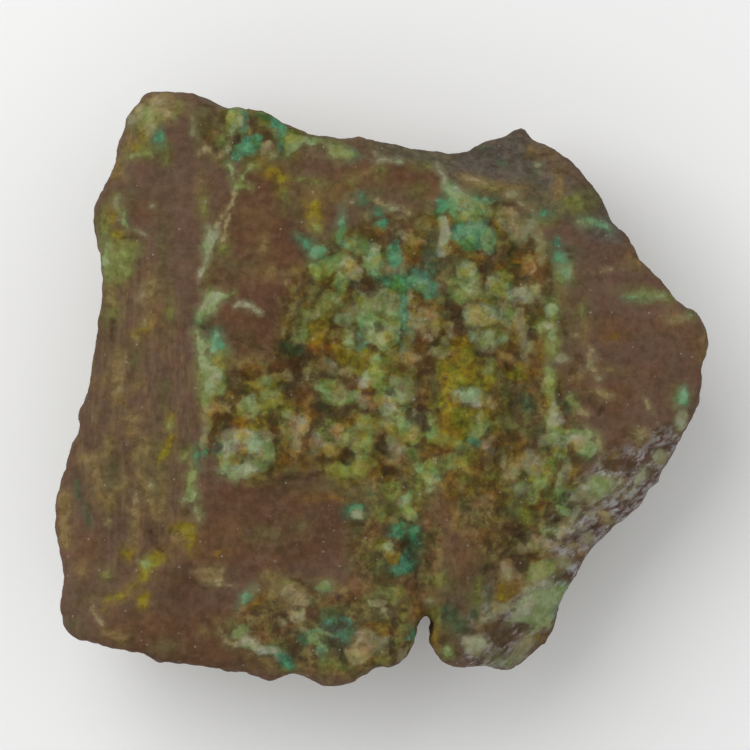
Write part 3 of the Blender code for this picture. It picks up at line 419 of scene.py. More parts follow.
CENTRE_CELLS = (
    Growth(OLIVE,
        plates=(((6.7, 18.7), (8.6, 19.1), (11.6, 18.7), (11.2, 17.4), (10.1, 16.4), (8.6, 15.3), (7, 16.4)),
        ((7.8, 15.3), (10.1, 16.1), (9.5, 13.6), (8.7, 11.7), (7.8, 11.7), (7.6, 13.6)),
        ((16.8, 11.9), (17.9, 11.7), (18.9, 8.6), (19.1, 6.7), (17.6, 6.3), (16.6, 9.3)),
        ((4.6, 1.8), (7, 2), (8.2, -0.1), (7, -0.8), (4.4, -0.1)),
        ((16.4, -0.4), (22.8, -0.1), (23.6, -6.4), (16.8, -6.4)))),
    Growth(RUST, plates=(((21.5, 17), (24.7, 18.7), (25.4, 16.1), (24.3, 13.6), (24.5, 10.8), (22.8, 10.1),
        (20.9, 11.6), (19.8, 12.7), (21.7, 13.6)),
        ((18.9, 3.3), (23.4, 3.7), (23.2, 0.3), (21.3, -0.1), (19.1, 0.3)))),
    Growth(TAN, ((6.7, 7.3, 0.8, 0.7), (18.1, 4.5, 1.1, 0.5, -15), (8.4, 2.9, 0.5, 2.8)),
        plates=(((16.8, 19.8), (19.6, 19.1), (22.8, 18.7), (22.6, 16.4), (21.3, 15.3), (19.6, 16.8),
        (18.3, 17.6), (17, 17.2), (16.4, 18.7)),
        ((5.5, 11.9), (7.8, 12.3), (7.8, 9.7), (9.7, 9.3), (10.1, 7.8), (7, 8.2), (4.4, 7.8), (4, 9.3),
        (5.5, 9.7)), ((20.9, 7.1), (22.8, 6.9), (23.2, 4.8), (21.3, 4.8)))),
    Growth(MOSS, ((12.7, 6.7, 0.9, 0.6), (16.8, -5.1, 0.6, 1.5)),
        plates=(((2.2, 3.3), (2.9, 4.1), (4, 3.3), (3.7, 1.8), (2.5, 1.1), (1.4, 1.8)),
        ((9.6, 13), (12, 12.6), (15, 13.4), (15.2, 16), (13, 18.8), (10.3, 15.6)))),
    Growth(OCHRE, ((7.1, 11.8, 0.8, 0.3), (0.9, 1.2, 0.5, 0.3), (24, 4.7, 0.5, 1.1), (6.6, -1.9, 0.3, 1),
        (17.6, 17.7, 0.8, 0.9), (21.5, 18.7, 0.8, 0.6), (10.6, -3.9, 1.1, 0.7), (12.9, -4.4, 1.2, 0.5),
        (10.4, 2.3, 1.2, 0.9), (13.6, 1.5, 1.3, 0.8), (12.2, 3.6, 1.4, 0.5)),
        plates=(((4.2, 14.4), (5.4, 14.2), (5.9, 12.9), (5.5, 11), (4.8, 10.6), (4.3, 11.9), (4, 13.4)),
        ((13.2, 19.2), (14.6, 19.4), (15.3, 18.7), (14.6, 17.4), (13.4, 17.9)),
        ((19.1, 10.4), (19.8, 9.7), (20.9, 7.8), (20.2, 7.1), (19.2, 8.6)))),
    Growth(UMBER, ((19.5, 17, 0.5, 0.8), (17.5, 13.9, 1.1, 0.3, 3), (19.8, 12.2, 1.1, 0.3, -20),
        (4.8, 6.8, 0.7, 0.8), (3, 2.8, 0.4, 0.6), (3.6, -4.1, 0.8, 0.8), (18.9, 16.8, 0.6, 0.4),
        (-1.4, -1.6, 1.3, 0.8), (22.5, 7.6, 0.8, 0.8), (9.6, 2, 0.5, 0.4), (12.2, 1.3, 0.4, 0.4),
        (14.8, 6.4, 0.6, 0.2)),
        plates=(((9.7, 12.3), (11.4, 11.9), (11.6, 10.4), (11, 9.3), (10.1, 10.1), (9.5, 11.4)),
        ((9.7, 9.3), (12.1, 9.3), (12.9, 8.4), (11.6, 7.8), (10.1, 7.8), (9.3, 8.6)),
        ((7, 7.8), (9.3, 8.6), (9.5, 6.7), (8.2, 5.2), (6.7, 5.2), (7.6, 6.7)),
        ((13.1, 6.7), (16.4, 5.9), (16.6, 3.7), (15.7, 2.6), (14.6, 3.3), (13.4, 5.2)),
        ((5.4, 4.1), (7.4, 4.2), (7.6, 2.2), (5.9, 2), (4.8, 2.9)),
        ((15.3, 19.1), (16.4, 18.7), (16.4, 17), (15.3, 16.8), (14.6, 17.9)),
        ((19.2, 6.7), (21.5, 5.9), (22.8, 4.4), (20.9, 4.1), (19.4, 5.2)),
        ((-3.5, 17), (-2, 17), (-0.1, 15.5), (-0.8, 14.2), (-3.5, 14.4)))),
    Growth(DEEP, ((2.2, 8.5, 0.9, 0.8), (1.9, 16.8, 0.9, 0.5), (21.7, -1.6, 0.6, 1.1)),
        plates=(((4, 17), (5.5, 18.1), (7, 18.7), (8.6, 18.1), (7.8, 16.6), (6.3, 16.1), (4.8, 16.4)),)),
    Growth(MUSTARD, ((-3.3, 4.2, 0.8, 1.5), (12.3, 7.3, 0.5, 0.7), (-3.1, -0.5, 0.8, 0.4),
        (20.2, 8.7, 0.4, 0.9, -40), (20.2, 2, 0.9, 0.7)),
        plates=(((-0.1, 6.1), (3.3, 5.6), (2.9, 4.8), (0.3, 4.2), (-0.5, 5.2)),
        ((9.5, 6.7), (13.8, 5.6), (12.7, 4.6), (9.7, 4.8), (8.9, 5.6)),
        ((14.6, 14.6), (16.4, 14.2), (16.2, 12.7), (15.3, 12.7), (14.6, 13.6)),
        ((7.8, -2.2), (10, -0.6), (12.5, -2.6), (15.6, -3), (15.5, -5.6), (13.4, -7.6), (10.4, -9.2),
        (7.9, -8), (6.8, -5)),
        ((8.9, 3.8), (11.6, 4.6), (15.2, 4), (16.8, 1.9), (15.3, -0.3), (12.3, 0.3), (9.4, -0.3),
        (8.3, 1.8)))),
    Growth(QUARTZ, ((0.9, 17.6, 1.3, 0.5), (3.4, -0.1, 0.9, 1.1), (9.5, 6.9, 0.5, 0.5),
        (22.1, 5.9, 0.7, 0.8)), seams=((0.41, (4, 10.8), (4, 9.3), (3.8, 7.4), (3.5, 5.6)),),
        plates=(((11.6, -1), (13.4, -0.4), (16.1, -1.2), (15.3, -2.3), (14.6, -2.9), (12.7, -2.3),
        (11.6, -1.6)), ((1.2, 1.4), (3.1, 0.9), (2.9, -0.4), (2, -1.2), (1.2, -0.3)),
        ((13, 12.2), (16, 12.2), (18.6, 11.4), (19, 8.6), (16.8, 5.6), (14.9, 5.9), (12.8, 7.8),
        (12.4, 10.4)))),
    Growth(CREAM, ((4, 13.7, 0.3, 0.8), (5.1, 9.7, 0.7, 0.5), (6.7, 10.8, 0.7, 0.8), (7.9, 9.1, 0.2, 0.5),
        (9.9, 8.9, 0.3, 0.5), (4.1, 4.2, 0.7, 0.5), (2.1, 4.8, 0.7, 0.2, -35), (18.3, 4.5, 0.6, 0.3, -15),
        (6.8, 7.2, 0.3, 0.4), (22.1, 13.1, 0.3, 0.3), (8.6, 5.2, 0.6, 0.3), (-0.3, 10.6, 0.8, 2.6),
        (18.2, 10.2, 0.3, 1.4)),
        seams=((0.19, (20, 9.7), (20.7, 8.6), (21.3, 7.8)),
        (0.26, (19.1, 11.9), (20.6, 11.6), (20.7, 10.1), (20, 9.9)))),
    Growth(TEAL, ((1.9, 19.1, 0.6, 0.7), (5.4, 16.2, 1.1, 0.6, -20)),
        plates=(((4, 16.4), (5, 16.8), (6.3, 16.1), (7.8, 15.3), (7.6, 13.8), (6.7, 13.4), (5.9, 14.4),
        (4.8, 14.9), (4, 15.5)),
        ((0.1, 16.2), (2.2, 16.4), (4, 15.7), (3.9, 14.9), (2.2, 14.7), (0.7, 14.9)),
        ((2.4, 14.4), (3.5, 14.4), (3.5, 13.4), (3.2, 11.9), (3.4, 10.1), (3.3, 8.6), (2.5, 9.3),
        (2.2, 10.4), (2.4, 11.9), (2.2, 13.1)))),
    Growth(AQUA, ((2.8, 10.4, 0.4, 0.6), (5.9, 15.5, 0.9, 0.4, -25), (-3.2, 6.7, 0.6, 0.8))),
    Growth(LIME, ((15.7, 15, 1.1, 0.4, -20), (19.1, 11.2, 0.7, 0.7), (3.6, -1.4, 0.8, 0.7),
        (-0.6, 3.5, 0.8, 0.8), (14.7, -5.7, 0.7, 1.3, -30), (10.4, -8.3, 1.6, 0.6, -20),
        (7.3, -6.2, 0.5, 1.5), (16, 2.8, 0.5, 0.8, -30), (11.2, 14.4, 1.1, 1.6, 30), (14.5, 14.2, 0.9, 0.6)),
        plates=(((17, 16.8), (18.7, 17.2), (19.6, 16.2), (19.1, 15.1), (17.9, 14.9), (17, 15.7)),
        ((0.3, -4.6), (2.5, -3.3), (4.4, -4.8), (2.9, -6.1), (0.7, -6.3)),
        ((-3.5, -4.2), (-2.3, -4.9), (-1.6, -6.4), (-3.5, -6.4)))),
    Growth(MINT, ((16.1, 15.6, 0.4, 0.5), (24.3, 8.8, 0.9, 0.5), (3.7, -5.8, 0.8, 0.7),
        (25.8, -4.9, 0.8, 1.5), (12.6, 16.6, 1.2, 1.7, 20), (16.4, 7.3, 1.9, 1.1), (13.6, 8.8, 0.8, 1.3)),
        plates=(((-1.6, 4.2), (-0.6, 4.4), (-0.3, 2.9), (0.3, 2.2), (-0.1, 1.1), (-0.6, 0.3), (1, -0.4),
        (2.2, -1.2), (1.4, -2.3), (1.8, -3.4), (0.1, -3.8), (-0.6, -2.3), (-0.1, -1), (-1.2, 0.3),
        (-2.3, 1.8), (-2, 3.3)),
        ((-3.8, 13.8), (-0.5, 14.2), (1.8, 13.8), (2.2, 10), (1.8, 6.7), (-0.1, 5.9), (-2.3, 7.1),
        (-3.4, 10)))),
    Growth(CHALK, ((2.2, -1, 0.7, 0.3, -20), (5, -4.6, 0.6, 0.6), (0.9, -2.3, 0.5, 0.5),
        (20.4, 13.7, 1, 0.3, -5), (13.5, -1.2, 1.1, 0.4, -10), (24, 8.9, 0.6, 0.3), (26.1, -4.6, 0.5, 0.9),
        (15, 10.6, 1.9, 1), (12.9, 17.6, 0.8, 0.6), (13.9, -1.9, 1.9, 0.6, -12))),
    Growth(DARK, ((10.7, 11.2, 0.6, 0.8), (1, -0.5, 0.3, 0.3), (5.6, -5, 0.8, 0.3, -8),
        (3.8, -4.2, 0.4, 0.5), (6.8, -3.6, 0.7, 0.2), (6.4, -6.1, 0.5, 0.4), (11.4, 8.6, 0.9, 0.3),
        (19, 3.1, 0.6, 0.3, -20), (22.6, 7.7, 0.5, 0.5), (-0.4, 9.2, 0.3, 0.4))),
)

EAST_OF_CENTRE = (
    Growth(OLIVE, ((22.4, -8.4, 2, 4), (27.8, 10, 1, 5), (20.5, -9, 3, 2), (15.2, -12.6, 2, 2.4))),
    Growth(OCHRE, ((10.4, -14.8, 0.9, 2.6),), seams=((0.3, (11.8, -8.6), (13.2, -9)),)),
    Growth(TAN, ((11.2, -11.4, 2.4, 1.1), (19.4, -13, 1.6, 1.7))),
    Growth(MOSS, ((22.8, -15.4, 1.3, 2, -30), (21.4, -18.6, 0.9, 1), (12.6, -9, 1.6, 1))),
    Growth(QUARTZ, ((21.2, -11, 1.5, 0.5), (22.6, -12.3, 0.9, 0.7), (20, -15.6, 0.9, 0.6))),
    Growth(CREAM, ((19.3, -12.6, 0.8, 1),),
        seams=((0.2, (16.3, -9.6), (15.8, -11.2)), (0.25, (15.4, -8.6), (16.4, -8.2)))),
    Growth(MINT, ((26.6, -9, 0.9, 1.2), (26, -7.6, 0.8, 1.4))),
    Growth(DARK, seams=((0.3, (15.4, -11.8), (17.2, -8.4)), (0.3, (18.9, -20.9), (21.6, -22.8)))),
)

CENTRE_FOOT = (
    Growth(OCHRE, ((0.6, -7.6, 1, 0.7), (7, -9.6, 1, 0.8))),
    Growth(TAN, ((0.8, -11, 1.3, 0.9), (5.5, -15.9, 0.9, 0.7))),
    Growth(MOSS, ((4.6, -9.4, 1.6, 1.1, -20), (5.4, -15, 1, 1.6), (1.5, -15.8, 1.1, 1.1), (0.2, -4.8, 2, 1),
        (4.2, -6.8, 2.2, 1.8), (10.8, -12.4, 2.4, 2))),
    Growth(QUARTZ, ((2, -8.6, 1.2, 1.6),)),
    Growth(CREAM, ((0.8, -11.2, 0.7, 0.5),)),
    Growth(MINT, ((4.4, -6.7, 1.5, 1.3), (7.3, -13, 0.8, 1.6), (6.2, -12, 0.7, 0.6)),
        seams=((0.5, (3.4, -16.9), (4.3, -19.1)),)),
    Growth(LIME, ((1.8, -5.2, 1.4, 0.9), (10.8, -11.2, 1.4, 0.9))),
    Growth(CHALK, ((4.8, -6.4, 0.6, 0.8),)),
    Growth(UMBER, ((0.1, -9, 0.7, 0.6), (6.6, -6.6, 0.7, 0.6), (6, -8.6, 1.2, 0.6), (1.2, -7.6, 0.9, 0.5))),
    Growth(DARK, ((0.9, -12.4, 0.8, 0.5), (0, -9, 0.3, 0.3))),
)

SMOOTH_FOOT = (
    Growth(OLIVE, ((-18, -22, 3.2, 1), (-12.4, -20.6, 1.4, 1), (-4, -20.9, 0.9, 0.7),
        (-8, -15.4, 4, 0.7, -4))),
    Growth(RUST, ((-10.6, -16.8, 1.6, 0.9),)),
    Growth(OCHRE, ((-6.4, -16.6, 1.8, 0.35, -8), (-11.4, -16.8, 0.5, 0.4))),
    Growth(CREAM, ((-26, -2.4, 0.6, 1.4),)),
    Growth(DEEP, ((-4.2, -18.6, 1.6, 1.2),)),
    Growth(TEAL, ((-4.4, -18.2, 0.8, 0.5, 20),)),
    Growth(CHALK, ((-3.7, -18.8, 0.5, 0.35, 20),)),
    Growth(DARK, ((-8.4, -17.6, 0.6, 0.25), (-4, -20.2, 0.5, 0.3)),
        seams=((0.25, (-24.6, -8.8), (-26.2, -9.6)), (0.22, (-14.6, -14.1), (-11.6, -13.6), (-9, -12.9)))),
)

TEAL_POOL = (
    Growth(OLIVE, ((3.4, -24, 3.4, 4.6), (1, -18.6, 1.8, 1), (1.8, -30.4, 2.2, 2.4), (10, -35, 2.4, 3),
        (15, -32, 0.8, 2.2), (6, -31.6, 2.2, 1.2))),
    Growth(RUST, ((12.4, -24.5, 2.2, 3.4), (8.6, -18.4, 1, 2), (3.8, -30, 1.2, 1.8), (0.2, -20.8, 1.2, 1.4),
        (6.8, -19.6, 0.9, 2.2))),
    Growth(UMBER, ((2.3, -23.5, 0.9, 0.5), (6.9, -24.2, 0.6, 1.6), (0.8, -28.8, 1.3, 0.7))),
    Growth(DEEP, ((4.6, -23, 1.1, 1.6), (2.9, -21.6, 2.1, 1.4), (11.5, -36, 1.1, 0.9), (10, -33.4, 0.9, 0.6),
        (1.8, -27, 1.9, 0.9))),
    Growth(TEAL, ((2.4, -21.4, 0.9, 0.6, 20), (3.3, -27, 0.9, 0.5, 10), (3.4, -25.8, 0.4, 0.8),
        (4.7, -22, 0.4, 0.8))),
    Growth(MOSS, ((0.8, -24.2, 0.9, 0.6, -30), (-0.4, -19, 0.8, 0.8), (6, -22, 0.7, 0.5),
        (3.5, -21.2, 0.4, 0.7), (2.1, -27.6, 0.6, 0.3))),
    Growth(MUSTARD, ((1.8, -25.3, 0.8, 0.9), (-0.2, -23.3, 0.5, 0.6))),
    Growth(TAN, ((11.3, -19.9, 1.2, 1.5), (8.1, -25, 0.8, 2), (7.2, -28.6, 2, 0.9), (14, -21.5, 0.6, 2.2))),
    Growth(MINT, ((3.7, -17.8, 0.6, 1.3), (0.9, -24, 0.5, 0.3, -30))),
    Growth(DARK, ((2.6, -24, 0.5, 0.25), (15.9, -27.4, 0.8, 0.4))),
)

BOTTOM_LOBES = (
    Growth(RUST, ((-3.7, -29.2, 1.8, 1.8), (-6.9, -31.7, 1.5, 1.5), (-19.2, -37.5, 1.5, 0.5),
        (-22.4, -40, 4, 0.6, -6), (3.6, -29.9, 1.5, 1.2))),
    Growth(OLIVE, ((-17.4, -33, 1.2, 1.5), (0.3, -28.9, 1.2, 2.5), (8.8, -29.4, 2.2, 2.2),
        (-1.4, -36.2, 2.2, 1)),
        plates=(((-16.4, -33.5), (-14.4, -34.5), (-13.4, -36.2), (-12.4, -37.5), (-11.9, -39.5),
        (-13.4, -40.5), (-15.9, -38.5), (-16.9, -36.5)),
        ((-11.9, -37.5), (-9.9, -35), (-8.9, -34), (-4.4, -35.5), (-3.9, -38.5), (-6.4, -40.5), (-9.4, -40),
        (-11.4, -39)))),
    Growth(TAN, ((-16.4, -28.2, 1.2, 0.9), (4.3, -34.2, 1.2, 1.8, 20), (6.8, -30.9, 0.9, 1.4),
        (15.1, -35.5, 1.1, 1.7, 30), (-5.4, -41, 1.5, 0.5)), seams=((0.23, (-24.8, -35.2), (-24.5, -36.7)),),
        plates=(((-27.4, -27.2), (-25.9, -26.4), (-23.9, -27.2), (-23.7, -28.7), (-25.2, -29.1),
        (-27.4, -28.4)),
        ((-21.2, -32.7), (-19.9, -30.7), (-18.7, -29.8), (-16.4, -29.9), (-15.7, -30.9), (-16.4, -32.7),
        (-17.4, -34.5), (-19.2, -36.2), (-21.2, -36.8), (-22.4, -35.7), (-21.4, -34.5)),
        ((-15.7, -29.7), (-13.4, -29.1), (-12.1, -29.9), (-11.2, -31.2), (-10.6, -32.7), (-11.2, -34.5),
        (-12.4, -35), (-13.7, -34.2), (-14.4, -33.2), (-15.2, -31.9)),
        ((-13.4, -34.5), (-12.2, -35.2), (-10.9, -36.7), (-10.1, -37.5), (-11.2, -38.1), (-12.4, -37.5),
        (-13.4, -36)))),
    Growth(MOSS, ((-20.9, -37.6, 1, 0.7), (1.3, -31.2, 1.5, 0.9, 20), (0.3, -28.7, 0.9, 2),
        (0.3, -40.2, 1.1, 1.1), (-7.4, -41.5, 1.5, 0.6), (8.8, -28.9, 1.2, 0.9), (2.6, -36.7, 0.7, 2.8, -12),
        (-13.9, -29.4, 1.2, 0.4)),
        seams=((0.25, (-15.7, -38.2), (-14.4, -39.2)), (0.15, (-2.4, -40.1), (-0.4, -39.2)))),
    Growth(OCHRE, ((-0.2, -36.2, 1.7, 0.7, -5), (-24.4, -25.2, 1, 0.5), (7.6, -37, 0.4, 1, 10),
        (-18.9, -31.9, 0.8, 1.2, -40), (5.6, -33.5, 0.5, 1, 20))),
    Growth(UMBER, ((-15.4, -34.2, 0.8, 0.4, -20), (-14.9, -36.2, 1, 0.9, -30), (11.6, -39.5, 1, 1),
        (0.8, -33.1, 1.1, 0.2), (-13.4, -38.5, 0.8, 1))),
    Growth(DEEP, ((-11.4, -37.6, 0.7, 0.6), (-5.4, -38.5, 0.8, 0.8), (10.3, -34, 1.1, 1.5),
        (11.8, -36, 0.9, 1.2), (4.8, -25.2, 1, 1.2)),
        plates=(((-8.9, -34), (-7.4, -33.7), (-5.9, -34.5), (-4.9, -35.5), (-4.7, -37), (-5.4, -38.5),
        (-6.7, -38.8), (-8.2, -38.2), (-9.2, -36.5)),)),
    Growth(MUSTARD, ((7.6, -36.2, 0.2, 0.8),)),
    Growth(QUARTZ, ((-8.7, -29.8, 0.7, 0.5), (7.3, -32.2, 0.5, 0.4), (-14.9, -35.3, 0.2, 0.2),
        (13.8, -38.7, 1.6, 1.3)),
        plates=(((-1.4, -37.3), (0.6, -37.7), (0.9, -38.7), (-0.9, -39.5), (-2.4, -39.7), (-2.7, -38.5)),)),
    Growth(CREAM, ((-12.3, -32.2, 1, 1.4, -20), (-13.9, -30.8, 1, 0.9), (-12.7, -34.2, 0.7, 0.5),
        (-11.2, -36.7, 0.6, 0.4, -30), (-24.4, -27.7, 0.5, 0.4), (-26.4, -27.7, 0.6, 0.2),
        (-24.7, -28.9, 0.4, 0.2), (2.8, -40.6, 0.4, 0.9, -30)),
        seams=((0.2, (-24.2, -36.7), (-23.3, -37.9), (-21.9, -38.7), (-20.7, -38.5)),
        (0.18, (-1.9, -32.4), (0.3, -32.5)), (0.18, (0.3, -33.5), (1.6, -34)),
        (0.12, (-27.4, -28.6), (-25.9, -28.9), (-24.7, -29.6), (-21.9, -29.8))),
        plates=(((-4.4, -37.5), (-2.9, -36.5), (-1.4, -37.2), (-0.9, -38.5), (-2.2, -40.5), (-3.9, -41),
        (-5.2, -40.5), (-5.4, -39.5)),)),
    Growth(TEAL, ((-5.9, -37.2, 0.8, 0.5, -30), (-7.7, -35.5, 0.6, 0.3), (-5.6, -35.5, 0.5, 0.6),
        (-6.7, -36.6, 0.3, 0.7), (-11.4, -37.8, 0.4, 0.3), (4.6, -36.9, 0.2, 0.3)),
        seams=((0.2, (-16.4, -39.2), (-15.2, -40.5), (-13.7, -41.7)),)),
    Growth(AQUA, ((-20.4, -31.4, 0.8, 0.4, 50), (-9.9, -37, 0.7, 0.3), (-9.1, -38.5, 0.4, 0.9))),
    Growth(MINT, ((-21.4, -36.5, 0.9, 0.6), (-9.7, -37.8, 0.9, 0.6), (-8.7, -29.7, 0.4, 0.2),
        (9.9, -39.8, 0.6, 0.6), (-17.7, -39.2, 1, 0.2, -10))),
    Growth(CHALK, ((-19.4, -38.5, 1, 0.5, -20), (13.8, -38.8, 1.1, 0.9, -20)),
        seams=((0.2, (-19.9, -38.6), (-18.7, -39.1), (-16.4, -39.5)),)),
    Growth(DARK, ((-6.6, -35.8, 0.7, 0.3), (-7.4, -38.1, 1.1, 0.4, -10), (-12.7, -33.2, 0.2, 0.2),
        (2.3, -41.5, 0.5, 0.3), (-12.4, -29.1, 0.7, 0.2, -20)),
        seams=((0.15, (1.5, -33.5), (1.6, -35.5), (1.5, -38.5), (1.6, -41.7)),
        (0.15, (-6.2, -39), (-5.4, -41)))),
)

LOWER_LEFT_FOOT = (
    Growth(OLIVE, ((-32.4, -39, 1.8, 1.2), (-46.4, -36, 1, 0.8), (-44.6, -31.6, 1.2, 0.8))),
    Growth(RUST, ((-28.6, -22.5, 3.4, 1.4), (-22.6, -21.6, 2.8, 1.6), (-34, -35, 4, 1.6, -8))),
    Growth(TAN, ((-39.8, -37.2, 1.9, 1, -10), (-40.2, -31.4, 1.1, 0.4, 10), (-41.6, -33.2, 0.8, 0.5)),
        seams=((0.3, (-27.6, -36.6), (-26.4, -36.9)),)),
    Growth(CREAM, seams=((0.22, (-43.5, -31.8), (-43.3, -33.2), (-42.3, -35), (-41.5, -36.8)),)),
    Growth(DARK, ((-37.7, -37.7, 0.4, 0.4),)),
)

NOTCH_LOBES = (
    Growth(OLIVE, ((14.6, -34.6, 1.6, 0.8), (9.6, -35.6, 2, 3))),
    Growth(TAN, ((15.2, -36.2, 1, 0.8), (8.2, -39.4, 0.8, 1))),
    Growth(MOSS, ((8.2, -34.6, 0.9, 1.6, 10), (10, -39.8, 0.9, 0.9))),
    Growth(OCHRE, ((7.5, -37.8, 0.4, 0.8),)),
    Growth(UMBER, ((9.6, -38, 1.4, 1), (12.8, -36.8, 1.6, 0.8))),
    Growth(DEEP, ((9.6, -33.6, 0.9, 0.9), (11.4, -36.2, 0.7, 1.2, 10))),
    Growth(MINT, ((9.8, -39.8, 0.6, 0.6),)),
)

